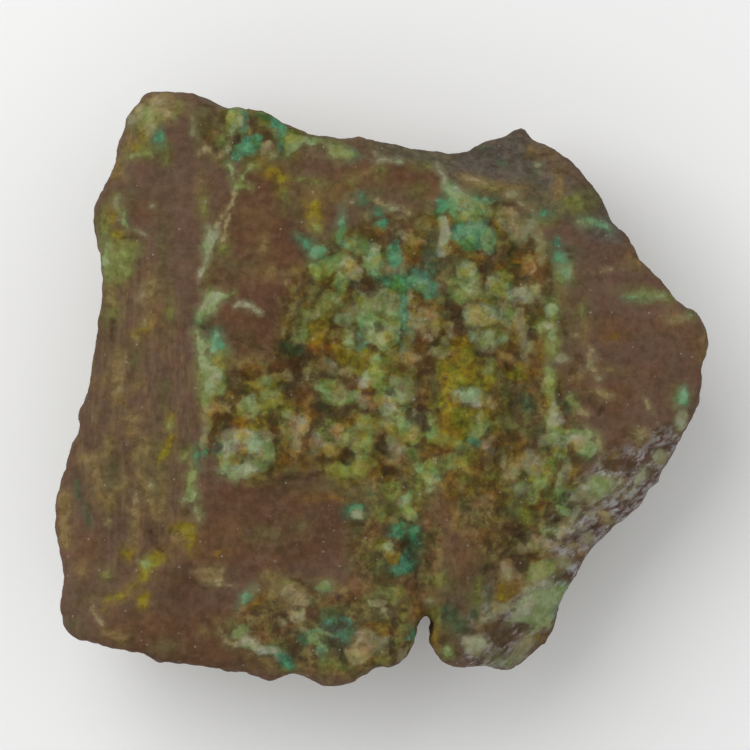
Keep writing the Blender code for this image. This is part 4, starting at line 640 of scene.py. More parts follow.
LOWER_RIGHT_BAND = (
    Growth(OLIVE, ((40.5, -12.4, 1, 0.6, 40), (16.8, -40.5, 1.8, 1.2), (14.1, -31.9, 1.8, 2.8)),
        plates=(((18.8, -10.4), (24.1, -8.4), (26.1, -11.4), (27.1, -15.4), (25.6, -18.4), (24.8, -21.4),
        (23.1, -22.9), (20.6, -22.9), (19.1, -20.9), (17.6, -15.4)),)),
    Growth(RUST, ((17.8, -37.2, 1.2, 0.8), (37, -8.4, 3.5, 1.2)),
        seams=((0.75, (17.6, -21.9), (18.8, -25.4)),)),
    Growth(TAN, ((35, -10.4, 1.1, 0.8), (14.6, -36.2, 1.4, 1.1), (34.3, -20.2, 1.2, 0.5, -40),
        (19.1, -12.9, 1.2, 1.8), (15.3, -18.4, 1, 2), (19.1, -26.4, 1, 0.8)),
        plates=(((20.6, -23.4), (22.6, -22.9), (24.3, -24.2), (26.6, -26.4), (26.1, -27.9), (24.8, -29.2),
        (21.3, -30.9), (18.6, -32.7), (17.3, -32.5), (17.2, -30.4), (17.6, -28.4), (18.6, -26.4),
        (19.6, -25.4)),)),
    Growth(MOSS, ((26.3, -15.7, 0.8, 1.4), (21.6, -18.7, 0.5, 1.5), (14.6, -31.4, 0.9, 2.2),
        (22.3, -23.9, 1.8, 0.6, -10), (23.8, -20.9, 0.6, 1.2), (24.8, -16.9, 0.8, 1.2)),
        plates=(((24.1, -10.2), (25.3, -10.7), (25.9, -12.4), (25.6, -13.7), (24.3, -12.7)),
        ((16.8, -12.9), (18.1, -11.4), (19.6, -11.7), (20.1, -13.2), (18.6, -14.2), (17.1, -13.9)))),
    Growth(OCHRE, ((23.1, -17.7, 1.1, 0.6), (22.8, -25.8, 0.7, 0.4), (19.8, -13.2, 0.8, 1.2),
        (30.3, -25.2, 0.8, 0.5)),
        plates=(((17.3, -29.4), (18.8, -29.2), (21.3, -29.4), (21.8, -30.2), (19.8, -31.7), (18.1, -32.5),
        (17.2, -31.4)),)),
    Growth(UMBER, ((31.6, -20.7, 0.8, 0.3, -30), (24.3, -35.8, 0.8, 0.6), (19.8, -33.1, 0.6, 0.9),
        (28.6, -10.4, 1.5, 0.8, -60), (27.1, -28.2, 1.2, 1.5, 60), (26.3, -18.9, 1.2, 0.4, -40)),
        seams=((0.23, (25.6, -20.4), (28.1, -18.9), (29.1, -17.9)),
        (0.3, (29.3, -18.4), (32, -17.9), (34.5, -16.7))),
        plates=(((33, -10.7), (37, -10.9), (39, -12.2), (37, -13.2), (34.5, -12.9), (33, -12.4)),
        ((15.6, -34.5), (18.6, -34.5), (19.6, -36), (19.1, -38), (17.6, -39.5), (15.8, -38), (15.1, -36)))),
    Growth(DEEP, ((25.4, -26.6, 0.6, 0.8), (13.6, -34.5, 0.8, 1)),
        seams=((0.3, (16.4, -30.4), (16.3, -31.9), (16.1, -33.7)), (0.2, (27.1, -12.4), (27.8, -15.4)))),
    Growth(MUSTARD, ((17.8, -30.9, 0.6, 1.2), (23.3, -37.7, 0.7, 0.5), (23.6, -14.2, 1.2, 1)),
        plates=(((22.6, -14.2), (23.8, -13.2), (24.8, -13.9), (24.3, -15.4), (23.1, -16.9),
        (22.3, -15.9)),)),
    Growth(QUARTZ, ((20.6, -15.2, 1.2, 0.4), (22.3, -10.7, 1, 0.8), (42, -10.4, 1.2, 1.2, -50),
        (31.1, -22.7, 1.1, 0.9, -45), (28.1, -24.1, 0.9, 0.4), (30.6, -18.9, 1.5, 0.4, -30),
        (13.8, -38.7, 1.7, 1.4), (27.6, -13.3, 0.4, 1.5), (27.6, -26.4, 1, 1.2, -60)),
        seams=((0.4, (27.1, -20.9), (29.1, -19.4)),),
        plates=(((31.1, -13.4), (34, -13.6), (35.2, -14.4), (35, -15.7), (33, -16.7), (31.6, -17.8),
        (29.1, -17.9), (27.8, -17.4), (29.1, -15.9), (30.3, -14.9)),
        ((16.8, -32.7), (19.1, -32.5), (20.6, -31.9), (20.3, -33), (18.6, -34), (16.8, -34.2)),
        ((20.6, -37.7), (22.6, -37.5), (23.1, -38.5), (21.8, -40.2), (20.6, -41.5), (19.3, -41),
        (19.8, -39)))),
    Growth(CREAM, ((32.8, -9.4, 0.4, 0.8), (36.3, -14.2, 0.6, 0.3, -30), (36.3, -15.4, 0.7, 0.2, -30),
        (36.2, -16.7, 0.8, 0.3, -30), (33.5, -19.2, 1.2, 0.7, -35), (23.8, -22.9, 0.7, 0.3, -20),
        (21.1, -23.9, 0.9, 0.6), (18.7, -27.7, 0.7, 1.1), (16.8, -33.5, 0.5, 0.8), (22.2, -38.2, 0.6, 0.8),
        (29.1, -23.9, 0.5, 0.3)), seams=((0.23, (23.6, -23.7), (25.8, -23.6), (27.1, -22.9)),)),
    Growth(TEAL, ((30.3, -9.2, 0.7, 0.8), (13.8, -8.2, 0.5, 0.5))),
    Growth(AQUA, ((26.8, -30.9, 1.2, 0.8, 10), (23.8, -31.9, 1.5, 0.8, -40), (25.3, -33, 0.8, 1))),
    Growth(LIME, ((23.8, -14.2, 0.8, 0.8), (22.7, -15.7, 0.6, 0.9), (22.7, -34.8, 1, 1),
        (24.8, -12.2, 0.5, 0.8)),
        plates=(((22.1, -26.9), (24.1, -26.1), (25.6, -26.6), (26.2, -27.6), (24.8, -28.9), (23.1, -29.4),
        (21.8, -28.9)),)),
    Growth(MINT, ((32.8, -14.9, 2.1, 1.2, -5), (27.3, -18.7, 0.7, 0.4, -20), (18.9, -41.7, 1.4, 0.6),
        (26.6, -14.4, 0.4, 1), (25.1, -21.9, 0.8, 0.4, -30)),
        plates=(((28.1, -8), (31.6, -8), (32.3, -8.9), (31.6, -10.7), (30.1, -9.9), (28.6, -8.9)),
        ((25.1, -29.7), (27.8, -30.4), (28.1, -30.9), (26.6, -32.7), (25.7, -34.2), (25.4, -36.2),
        (23.6, -36.5), (22.3, -36.5), (20.3, -35.5), (19.1, -35.2), (20.1, -33.5), (21.1, -31.7),
        (23.1, -30.4)))),
    Growth(CHALK, ((32.3, -11.9, 0.4, 0.5), (21.8, -33, 0.9, 1.5, -50), (20.3, -34.3, 0.8, 0.7),
        (15.8, -34.7, 0.5, 0.3), (14.1, -38.5, 1, 0.8), (30.6, -15.2, 0.6, 0.4)),
        seams=((0.45, (39.3, -12.9), (38.3, -14.2), (37.7, -15.7)),
        (0.3, (26.7, -22.2), (27.8, -21.2), (29.1, -20.3)),
        (0.18, (20.6, -31.2), (22.3, -30.1), (25.1, -29.2)), (0.25, (15.6, -11.7), (16.3, -9.9)),
        (0.25, (28.3, -21.7), (30.1, -20.7)))),
    Growth(DARK, ((37.3, -17.7, 1.1, 0.4, -20), (21.1, -26.7, 0.7, 1), (21.3, -36.2, 1.4, 0.6, 5),
        (20.6, -21.9, 0.4, 0.8, 30)),
        seams=((0.23, (40.5, -9.9), (42.5, -9.2), (43.9, -8.7)), (0.23, (27.1, -23.1), (29.3, -22.7)),
        (0.18, (25.1, -22.2), (25.8, -22.9)), (0.2, (19.8, -25.6), (21.3, -25.6), (23.1, -25.2)),
        (0.2, (28.1, -17.9), (30.6, -17.4)), (0.18, (30.1, -21.9), (32, -20.9)))),
)

RIGHT_PLANE = (
    Growth(OLIVE, ((29, 16.1, 0.9, 2.1), (29.6, 11.2, 0.7, 1.8), (27.1, -2.8, 1, 1.3)),
        plates=(((25.9, 13.7), (29, 13.7), (29.2, 9.5), (27.5, 7.1), (26.6, 5.2), (26.1, 8.9)),)),
    Growth(RUST, ((34.6, -3.7, 1.5, 1.8), (34, 8.9, 1.8, 1.5), (29, 0.8, 1.8, 1.4), (37, 20, 0.7, 1, -50),
        (41.9, 8.9, 1.8, 1.2), (35.9, -0.7, 2.4, 1.5), (39.8, 1.7, 1.8, 0.9))),
    Growth(TAN, ((44, 10.1, 1.7, 1, -10), (38.9, -7.3, 1.5, 1.2, 20), (22.1, 1.1, 1.8, 1.8),
        (37.4, 18.8, 0.6, 0.4), (28.8, 1.7, 1.2, 1, -20), (26.9, 13.7, 0.7, 1.1),
        (32.2, -0.9, 1.2, 0.4, -20), (33.8, 2.7, 0.7, 0.2, -10)),
        seams=((0.27, (30.7, 9.2), (30.5, 7.7), (30.1, 6.5)), (0.3, (48.8, 8.6), (47.8, 6.6))),
        plates=(((19.4, 20), (21.2, 21.2), (22.9, 19.6), (23.2, 17.2), (22.1, 16.1), (19.7, 17.6)),)),
    Growth(MOSS, ((29.9, 11.2, 0.4, 0.7), (44, -1.3, 0.4, 0.7)),
        seams=((0.39, (37.6, 13.4), (40, 13.9), (41.9, 13.4), (43, 13.1)),),
        plates=(((24.6, 13.2), (25.9, 13.1), (26.3, 11.2), (26.2, 9.5), (26.4, 6.5), (25.9, 5.2),
        (25.1, 4.1), (24.4, 5.2), (24.8, 7.1), (24.4, 8.9), (24.1, 10.1), (24.9, 11.2)),
        ((24.6, 2.6), (25.5, 2.4), (25.9, 0.2), (25.2, -2.1), (24.1, -1.2), (23.8, 1.1)))),
    Growth(OCHRE, ((23.9, 4.4, 0.6, 1.2), (20.9, 2, 1.8, 1.1), (20.2, 19.4, 0.7, 0.7),
        (22.9, 17.9, 0.5, 1.2), (34.6, 7.4, 1, 0.5, 20)), seams=((0.33, (20.9, 8.6), (21.4, 7.4)),)),
    Growth(UMBER, ((24.8, 17.6, 1.2, 0.9), (22.6, 8, 0.8, 0.8), (29.6, 4.1, 1.2, 0.5, -20),
        (27.1, 8.9, 0.7, 1.5), (28.1, 2.2, 0.9, 0.6, 30), (31.4, -1.9, 1.2, 0.8, -30),
        (19.9, 16.1, 0.9, 0.6))),
    Growth(DEEP, ((28.4, 19.5, 0.5, 0.9, -30), (27.6, 20.4, 0.7, 0.2, -10), (27.3, -3.1, 0.6, 1, -20))),
    Growth(MUSTARD, ((24.8, 6, 0.6, 0.9),)),
    Growth(QUARTZ, ((19.9, 22.7, 0.7, 0.6), (21.8, 24.5, 1, 0.5, -20), (27.5, 17.7, 0.8, 1.1),
        (21.6, 6.2, 0.5, 1.4), (26.9, 4.4, 0.9, 0.8, 20), (44.9, -5.1, 0.9, 1.6), (30.9, 3.2, 0.4, 0.9, -40),
        (25.1, -7.8, 1.2, 0.7), (32.2, 1.2, 0.6, 0.5)),
        seams=((0.42, (22.1, 24.2), (23.6, 22.7), (24.1, 20.9), (24.1, 19.2)),
        (0.42, (25.4, -2.1), (26, -4.3), (25.9, -5.8)))),
    Growth(CREAM, ((22.1, 18.5, 0.5, 0.8), (22.4, 14.6, 0.7, 0.5), (31.1, 5.4, 0.5, 0.5),
        (33.8, 17.7, 0.7, 0.2, 10), (39.8, -2.8, 0.4, 1.1, 30), (28.8, 7.4, 0.4, 0.4),
        (32.5, -8.2, 0.4, 0.8), (44.2, 10.2, 0.7, 0.2), (38.5, -7.1, 0.6, 0.8, 20)),
        seams=((0.39, (19.4, 11.6), (20.2, 10.7), (20.9, 8.9)),
        (0.33, (30.9, 4.8), (31.5, 3.3), (32.3, 1.8)), (0.39, (29.4, -3.6), (30.8, -4.4)),
        (0.3, (32.2, -0.8), (34, -1.6)))),
    Growth(TEAL, ((26.1, 21.6, 0.6, 0.6), (26.4, 19.5, 0.6, 0.7, -20)),
        seams=((0.21, (23.6, 25.7), (25.1, 25.8)),)),
    Growth(AQUA, ((45.1, -1.6, 0.9, 1), (26.9, 19.1, 0.4, 0.5), (38.2, 13.4, 0.7, 0.3, 10)),
        seams=((0.21, (31.1, 24.4), (34, 23.8)),)),
    Growth(LIME, ((25.1, 5.7, 0.6, 0.9), (24.8, -0.1, 0.5, 1), (39.8, 14, 1.2, 0.2, -5)),
        seams=((0.39, (28.1, -1.5), (29.1, -2.8)),)),
    Growth(MINT, ((25.5, 11.2, 0.6, 1.1), (25.6, 7.7, 0.5, 1), (27.2, 16.5, 0.5, 0.7), (25, 1.2, 0.5, 1),
        (29, -7.6, 1.5, 1.3), (30.9, -7.1, 1, 0.5, -20), (41.2, 13.7, 0.7, 0.2), (28.1, 17.2, 0.3, 0.7)),
        seams=((0.15, (29.2, 24.6), (31.1, 24.4)),)),
    Growth(CHALK, ((24, 8.9, 0.9, 0.4, 10), (20.6, 13.7, 1, 0.6, -10), (44.9, -5.6, 0.6, 1),
        (29.4, -7.9, 0.7, 0.5), (25.7, -3.1, 0.3, 0.6))),
    Growth(DARK, ((19.9, 20.2, 0.6, 0.5), (29.6, 4.4, 0.8, 0.2, -20), (32.7, -3.7, 0.4, 0.9, -40)),
        seams=((0.12, (26.9, 20.6), (27.9, 20.4)), (0.18, (26.4, 0.9), (26.6, -1.9)))),
)

RIGHT_TIP = (
    Growth(TAN, seams=((0.45, (48.8, 6.6), (47.8, 4.2)), (0.3, (37.4, 19.2), (38.6, 18.2)))),
    Growth(RUST, ((47, 6.8, 1.8, 1.4),)),
    Growth(MINT, ((46.4, 10.9, 0.7, 0.4),)),
    Growth(DARK, ((46.4, 11.1, 0.5, 0.2),)),
)

AREAS = (TOP_LEFT_CORNER, LEFT_EDGE_GREENS, LEFT_STRIP, RIDGE_VEIN, BROWN_BLOCK, MUSTARD_TRAIL,
         EAST_OF_TRAIL, RIM_AND_LEDGE, CENTRE_WEST, NORTH_OF_CENTRE, CENTRE_UNDERLAY, CENTRE_CELLS,
         EAST_OF_CENTRE, CENTRE_FOOT, SMOOTH_FOOT, TEAL_POOL, BOTTOM_LOBES, LOWER_LEFT_FOOT,
         NOTCH_LOBES, LOWER_RIGHT_BAND, RIGHT_PLANE, RIGHT_TIP)
GROWTHS = tuple(growth for area in AREAS for growth in area)


@dataclass(frozen=True)
class Tint:
    """How one mineral looks and where it shows on the sides and the back.

    Attributes:
        pale: Linear colour of its lightest grains.
        deep: Linear colour of its darkest grains.
        soft: Half the width of its edge, in mm.
        halo: How far its faint stain reaches past the edge, in mm.
        cover: Share of what lies under it that it hides.
        rim: How dark the rock is stained round it in the crumbly centre, from 0 to 1.
        relief: How far it stands proud of the rock, in mm.
        share: Part of the sides and the back that it covers.
        patch: Size of its patches there, in mm.
        veined: Whether it runs in veins there, and not in patches.
    """

    pale: Triple
    deep: Triple
    soft: float = 0.5
    halo: float = 0.8
    cover: float = 0.9
    rim: float = 0.0
    relief: float = 0.0
    share: float = 0.05
    patch: float = 6.0
    veined: bool = False


# From the mineral that lies lowest to the topmost one.
TINTS = {
    OLIVE: Tint((0.125, 0.110, 0.042), (0.072, 0.058, 0.021), 0.8, 1.5, 0.75, share=0.24, patch=9.0),
    RUST: Tint((0.160, 0.080, 0.032), (0.105, 0.050, 0.022), 0.9, 1.5, 0.6, share=0.2, patch=8.0),
    TAN: Tint((0.235, 0.165, 0.062), (0.148, 0.094, 0.026), 0.5, 1.0, 0.8, relief=0.03, share=0.08),
    MOSS: Tint((0.185, 0.195, 0.046), (0.105, 0.105, 0.021), 0.5, 1.2, 0.82, 0.2, 0.03),
    OCHRE: Tint((0.215, 0.118, 0.018), (0.110, 0.052, 0.006), 0.45, 1.0, 0.88, relief=0.02, share=0.08),
    UMBER: Tint((0.088, 0.052, 0.018), (0.048, 0.028, 0.010), 0.4, 0.6, 0.85, relief=-0.12, share=0.08),
    DEEP: Tint((0.060, 0.105, 0.048), (0.031, 0.048, 0.022), 0.45, 0.8, 0.8, relief=-0.05, share=0.03),
    MUSTARD: Tint((0.250, 0.200, 0.013), (0.160, 0.108, 0.004), 0.4, 1.0, 0.9, 0.2, 0.05, 0.02, 4.0),
    QUARTZ: Tint((0.235, 0.226, 0.127), (0.169, 0.151, 0.065), 0.35, 0.6, 0.9, 0.5, 0.08, 0.03, 4.0),
    CREAM: Tint((0.291, 0.244, 0.120), (0.207, 0.158, 0.063), 0.3, 0.6, 0.9, 0.4, 0.08, 0.025, 3.0),
    TEAL: Tint((0.075, 0.258, 0.132), (0.038, 0.134, 0.066), 0.35, 0.9, 0.92, 0.3, 0.08, 0.03, 9.0, True),
    AQUA: Tint((0.170, 0.320, 0.170), (0.085, 0.215, 0.106), 0.35, 1.0, 0.92, 0.3, 0.10, 0.03, 8.0, True),
    LIME: Tint((0.237, 0.267, 0.091), (0.135, 0.158, 0.034), 0.35, 1.0, 0.92, 0.4, 0.12, 0.02, 7.0, True),
    MINT: Tint((0.256, 0.304, 0.140), (0.135, 0.184, 0.048), 0.3, 1.0, 0.94, 0.5, 0.14, 0.05, 9.0, True),
    CHALK: Tint((0.320, 0.330, 0.211), (0.230, 0.233, 0.130), 0.35, 0.6, 0.9, 0.2, 0.12, 0.012, 4.0, True),
    # The dark fill of pits and crevices is partly painted shade.
    DARK: Tint((0.068, 0.038, 0.013), (0.036, 0.020, 0.008),
               0.3, 0.4, 0.75, relief=-0.28, share=0.03, patch=3.0),
}


def clouds(places: np.ndarray, size: float, seed: float) -> np.ndarray:
    """Give smooth noise between about -1 and 1 at every place.

    Args:
        places: Points in mm, one row each.
        size: About how wide a lump of the noise is, in mm.
        seed: Moves the noise, so that two fields differ.

    Returns:
        One value for each place.
    """
    moved = places / size + np.array([7.3, 3.1, 5.7]) * seed
    return np.array([noise.noise(place) for place in moved.tolist()])


def crumbs(places: np.ndarray, size: float, seed: float) -> np.ndarray:
    """Give rounded grains: 1 at the middle of each grain and 0 or less where grains meet.

    Args:
        places: Points in mm, one row each.
        size: About how wide a grain is, in mm.
        seed: Moves the grains.

    Returns:
        One value for each place.
    """
    moved = places / size + np.array([2.9, 8.3, 4.7]) * seed
    return np.array([1.0 - 1.6 * noise.voronoi(place)[0][0] for place in moved.tolist()])


def smooth_step(low: float, high: float, values: np.ndarray) -> np.ndarray:
    """Give 0 below low, 1 above high and a smooth run between them."""
    share = np.clip((values - low) / (high - low), 0.0, 1.0)
    return share * share * (3.0 - 2.0 * share)


@dataclass
class GrowthMap:
    """Measures how deep the points of the stone lie inside each mineral and zone.

    Attributes:
        places: Points of the stone in mm, one row each.
        facing: Upward part of each point's normal.
        reach: Depths are kept between minus and plus this, in mm.
        wander: How far wide and fine noise bend the tables' edges, in mm.
        wander_sizes: Width of the lumps of both noises, in mm.
        shown_heights: Heights between which the show face begins, in mm.
        shown_slopes: Upward parts of a normal between which it begins.
        finer: How much smaller the second noise is where minerals are scattered.
        scatter_slope: How steeply a scattered mineral's depth rises from its edge.
    """

    places: np.ndarray
    facing: np.ndarray
    reach: float = 3.0
    wander: Pair = (0.45, 0.15)
    wander_sizes: Pair = (2.4, 1.0)
    shown_heights: Pair = (9.0, 20.0)
    shown_slopes: Pair = (-0.05, 0.3)
    finer: float = 2.7
    scatter_slope: float = 1.2
    flat: np.ndarray = field(init=False)
    shown: np.ndarray = field(init=False)

    def __post_init__(self) -> None:
        """Bend the places by noise, and mark what belongs to the show face."""
        layers = tuple(zip(self.wander, self.wander_sizes))
        bend = [sum(far * clouds(self.places, size, seed) for far, size in layers) for seed in (1.0, 2.0)]
        self.flat = self.places[:, :2] + np.column_stack(bend)
        high = smooth_step(*self.shown_heights, self.places[:, 2])
        self.shown = smooth_step(*self.shown_slopes, self.facing) * high

    def blob_depth(self, blob: tuple[float, ...]) -> np.ndarray:
        """Give each point's depth inside an ellipse.

        Args:
            blob: Middle x and y, radius along, radius across and, if it is turned, its turn in degrees.

        Returns:
            Depth in mm, negative outside.
        """
        x, y, along, across, *turned = blob
        away = self.flat - np.array([x, y])
        turn = math.radians(sum(turned))
        cosine, sine = math.cos(turn), math.sin(turn)
        long_way = (away[:, 0] * cosine + away[:, 1] * sine) / along
        short_way = (away[:, 1] * cosine - away[:, 0] * sine) / across
        return (1.0 - np.hypot(long_way, short_way)) * min(along, across)

    def gap_to(self, path: tuple | list) -> np.ndarray:
        """Give each point's distance to a line.

        Args:
            path: Points that the line runs through.

        Returns:
            Distance in mm.
        """
        nearest = np.full(len(self.flat), np.inf)
        for start, end in zip(path, path[1:]):
            run = np.subtract(end, start)
            away = self.flat - np.array(start)
            share = np.clip(away @ run / (run @ run), 0.0, 1.0)
            nearest = np.minimum(nearest, np.hypot(*(away - share[:, None] * run).T))
        return nearest

    def seam_depth(self, seam: tuple) -> np.ndarray:
        """Give each point's depth inside a seam.

        Args:
            seam: Half width, followed by the points that the seam runs through.

        Returns:
            Depth in mm, negative outside.
        """
        half_width, *path = seam
        return half_width - self.gap_to(path)

    def plate_depth(self, plate: tuple) -> np.ndarray:
        """Give each point's depth inside a closed outline.

        Args:
            plate: Points of the outline, in order.

        Returns:
            Depth in mm, negative outside.
        """
        loop = (*plate, plate[0])
        x, y = self.flat.T
        inside = np.zeros(len(self.flat), bool)
        for (ax, ay), (bx, by) in zip(loop, loop[1:]):
            if ay != by:
                crossing = ax + (y - ay) * (bx - ax) / (by - ay)
                inside ^= ((ay > y) != (by > y)) & (x < crossing)
        return np.where(inside, 1.0, -1.0) * self.gap_to(loop)

    def planned(self, kind: Enum, growths: tuple[Growth, ...]) -> np.ndarray:
        """Give each point's depth inside the blobs, seams and plates of one kind.

        Args:
            kind: Mineral or zone to measure.
            growths: The tables that name it.

        Returns:
            Depth in mm, between minus and plus the reach.
        """
        depth = np.full(len(self.flat), -self.reach)
        for growth in growths:
            if growth.kind is kind:
                for blob in growth.blobs:
                    depth = np.maximum(depth, self.blob_depth(blob))
                for seam in growth.seams:
                    depth = np.maximum(depth, self.seam_depth(seam))
                for plate in growth.plates:
                    depth = np.maximum(depth, self.plate_depth(plate))
        return np.minimum(depth, self.reach)

    def scattered(self, tint: Tint, seed: float) -> np.ndarray:
        """Give each point's depth in the mineral of the sides and the back, which is spread by noise.

        Args:
            tint: Share, patch size and kind of spread.
            seed: Moves the noise.

        Returns:
            Depth in mm.
        """
        spread = clouds(self.places, tint.patch, seed)
        spread += 0.5 * clouds(self.places, tint.patch / self.finer, seed)
        if tint.veined:
            spread = -np.abs(spread)
        hidden = self.shown < 0.5
        level = np.quantile(spread[hidden], 1.0 - tint.share)
        return np.clip((spread - level) * tint.patch * self.scatter_slope, -self.reach, self.reach)

    def depth(self, kind: Enum, growths: tuple[Growth, ...], seed: float) -> np.ndarray:
        """Give the depth in one kind over the whole stone: planned above, scattered elsewhere.

        Args:
            kind: Mineral or zone to measure. A zone is never scattered.
            growths: The tables that name it.
            seed: Moves the noise that scatters it.

        Returns:
            Depth in mm.
        """
        planned = self.planned(kind, growths)
        if kind not in TINTS:
            return planned * self.shown - self.reach * (1.0 - self.shown)
        return planned * self.shown + self.scattered(TINTS[kind], seed) * (1.0 - self.shown)


@dataclass
class StoneBody:
    """The stone's own surface: a finer, worked copy of the solid that it stands for.

    Attributes:
        name: Name of the piece.
        voxel: Spacing of the points on the sides and the back, in mm; the show face has half of it.
        face_slope: Upward part of a normal above which a face belongs to the show face.
        fine_above: Height above which every face belongs to it, in mm.
        merge: Points of the solid closer than this are made one, in mm.
        relax: Rounds of smoothing that take off the facets of the solid.
        box_gap: How far inside the solid's box the surface stays, in mm.
        foot: Height below which the stone's underside is left flat, in mm.
        notch: Top and foot of the notch in the lower edge, seen from above, in mm.
        notch_reach: How far from the notch's middle its walls are moved, in mm.
        notch_rise: How far above its top the walls begin to be moved, in mm.
        notch_gain: How far its walls are moved apart, in mm.
        notch_push: How far its tip is moved to the right and inwards, in mm.
        notch_tip: How far from the tip all of the push is felt, and where none is, in mm.
        ground_height: Height of the plain rock's uneven ground, in mm.
        terraces: Steps of that ground to each of its heights.
        groove_heights: Height of the striated strip's wide and fine grooves, in mm.
        crumb_height: Height of the crumbly centre's crumbs of either size, in mm.
        slab_height: Height of its slabs, in mm.
        slab_steps: Steps of the slabs to each of their heights.
        broken_heights: Height of the sides' wide and fine broken lumps, in mm.
        side_calm: How much less the plain rock's relief is on the sides, from 0 to 1.
        side_sink: How far the sides lie back between their lumps, in mm.
        growth_gain: Part of its full relief that each mineral stands proud by.
        growth_edge: Depths between which it rises to that, in mm.
        hollow_depths: Depths below the skin between which a point counts as a hollow, which the material
            darkens with painted shade, in mm.
        swells: Where the sides keep what the even skin takes off, as x, y and reach in mm.
        swell: How far they are moved out there, in mm.
        crease: Edges sharper than this are not shaded smooth, in degrees.
    """

    name: str = "chrysocolla_stone"
    voxel: float = 0.8
    face_slope: float = 0.33
    fine_above: float = 28.5
    merge: float = 0.01
    relax: int = 2
    box_gap: float = 0.02
    foot: float = 0.6
    notch: tuple[Pair, Pair] = ((6.4, -34.4), (5.6, -41.5))
    notch_reach: float = 3.0
    notch_rise: float = 3.0
    notch_gain: float = 0.35
    notch_push: Pair = (0.6, 1.6)
    notch_tip: Pair = (0.4, 3.2)
    ground_height: float = 0.34
    terraces: float = 4.0
    groove_heights: Pair = (0.22, 0.12)
    crumb_height: float = 0.12
    slab_height: float = 0.36
    slab_steps: float = 3.5
    broken_heights: Pair = (0.55, 0.3)
    side_calm: float = 0.4
    side_sink: float = 0.19
    growth_gain: float = 0.6
    growth_edge: Pair = (-0.25, 0.35)
    hollow_depths: Pair = (0.05, 0.5)
    swells: tuple[Triple, ...] = ((24.0, -38.0, 11.0), (-46.6, 44.0, 6.0), (21.3, 38.6, 1.4))
    swell: float = 0.55
    crease: float = 50.0
    stone: bpy.types.Object = field(init=False)

    def build(self) -> bpy.types.Object:
        """Make the finished piece, with each mineral's depth as an attribute.

        Returns:
            The stone, at the origin, unturned and unscaled.
        """
        self.copy_solid()
        self.open_notch()
        self.remesh()
        self.refine_face()
        self.sculpt()
        self.place_minerals()
        bpy.ops.object.shade_smooth_by_angle(angle=math.radians(self.crease))
        return self.stone

    def copy_solid(self) -> None:
        """Start from a merged copy of the solid's mesh, and leave the solid itself alone."""
        bpy.ops.object.select_all(action="DESELECT")
        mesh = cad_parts[SOLID_NODE].data.copy()
        self.stone = bpy.data.objects.new(self.name, mesh)
        bpy.context.scene.collection.objects.link(self.stone)
        self.stone.select_set(True)
        bpy.context.view_layer.objects.active = self.stone
        bpy.ops.object.mode_set(mode="EDIT")
        bpy.ops.mesh.select_all(action="SELECT")
        bpy.ops.mesh.remove_doubles(threshold=self.merge * MM)
        bpy.ops.object.mode_set(mode="OBJECT")

    def open_notch(self) -> None:
        """Widen the notch of the lower edge by as much as the even skin closes it again."""
        places = self.read("co")
        (top_x, top_y), (foot_x, foot_y) = self.notch
        middle = np.interp(places[:, 1], (foot_y, top_y), (foot_x, top_x))
        aside = places[:, 0] - middle
        near = smooth_step(self.notch_reach, 0.0, np.abs(aside))
        near *= smooth_step(top_y + self.notch_rise, top_y, places[:, 1])
        places[:, 0] += np.sign(aside) * self.notch_gain * near
        full, none = self.notch_tip
        tip = smooth_step(none, full, np.hypot(places[:, 0] - top_x, places[:, 1] - top_y))
        places[:, :2] += tip[:, None] * self.notch_push
        self.stone.data.vertices.foreach_set("co", (places * MM).ravel())
        self.stone.data.update()

    def remesh(self) -> None:
        """Turn the facets of the solid into an even skin of small quads."""
        skin = self.stone.modifiers.new("even_skin", "REMESH")
        skin.mode = "VOXEL"
        skin.voxel_size = self.voxel * MM
        bpy.ops.object.modifier_apply(modifier=skin.name)

    def refine_face(self) -> None:
        """Halve the spacing on the show face, and smooth the whole skin."""
        mesh = self.stone.data
        upward = [polygon.normal.z > self.face_slope or polygon.center.z > self.fine_above * MM
                  for polygon in mesh.polygons]
        bpy.ops.object.mode_set(mode="EDIT")
        bpy.ops.mesh.select_mode(type="FACE")
        bpy.ops.mesh.select_all(action="DESELECT")
        bpy.ops.object.mode_set(mode="OBJECT")
        mesh.polygons.foreach_set("select", upward)
        bpy.ops.object.mode_set(mode="EDIT")
        bpy.ops.mesh.subdivide(number_cuts=1)
        bpy.ops.mesh.vertices_smooth(factor=0.5, repeat=self.relax)
        bpy.ops.mesh.select_all(action="SELECT")
        bpy.ops.mesh.vertices_smooth(factor=0.5, repeat=1)
        bpy.ops.object.mode_set(mode="OBJECT")

    def read(self, values: str) -> np.ndarray:
        """Give the points or the normals of the stone, one row each.

        Args:
            values: Either "co", in mm, or "normal".

        Returns:
            An array with three columns.
        """
        mesh = self.stone.data
        flat = np.zeros(len(mesh.vertices) * 3)
        if values == "co":
            mesh.vertices.foreach_get("co", flat)
            return flat.reshape(-1, 3) / MM
        mesh.vertex_normals.foreach_get("vector", flat)
        return flat.reshape(-1, 3)

    def sculpt(self) -> None:
        """Work grain, crumbs, striations, minerals and pits into the skin, along its normals."""
        places, normals = self.read("co"), self.read("normal")
        growth = GrowthMap(places, normals[:, 2])
        relief = self.rock_relief(places, growth) + self.mineral_relief(growth)
        relief *= smooth_step(0.0, self.foot, places[:, 2])
        # The hollow attribute is the mask of the painted shade: how far each point lies below the skin.
        hollow = self.stone.data.attributes.new("hollow", "FLOAT", "POINT")
        hollow.data.foreach_set("value", smooth_step(*self.hollow_depths, -relief).astype(np.float32))
        moved = places + normals * relief[:, None]
        low, high = [np.array(corner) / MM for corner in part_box(SOLID_NODE)]
        moved = np.clip(moved, low + self.box_gap, high - self.box_gap)
        moved[:, 2] = np.where(places[:, 2] < FLAT, places[:, 2], moved[:, 2])
        self.stone.data.vertices.foreach_set("co", (moved * MM).ravel())
        self.stone.data.update()

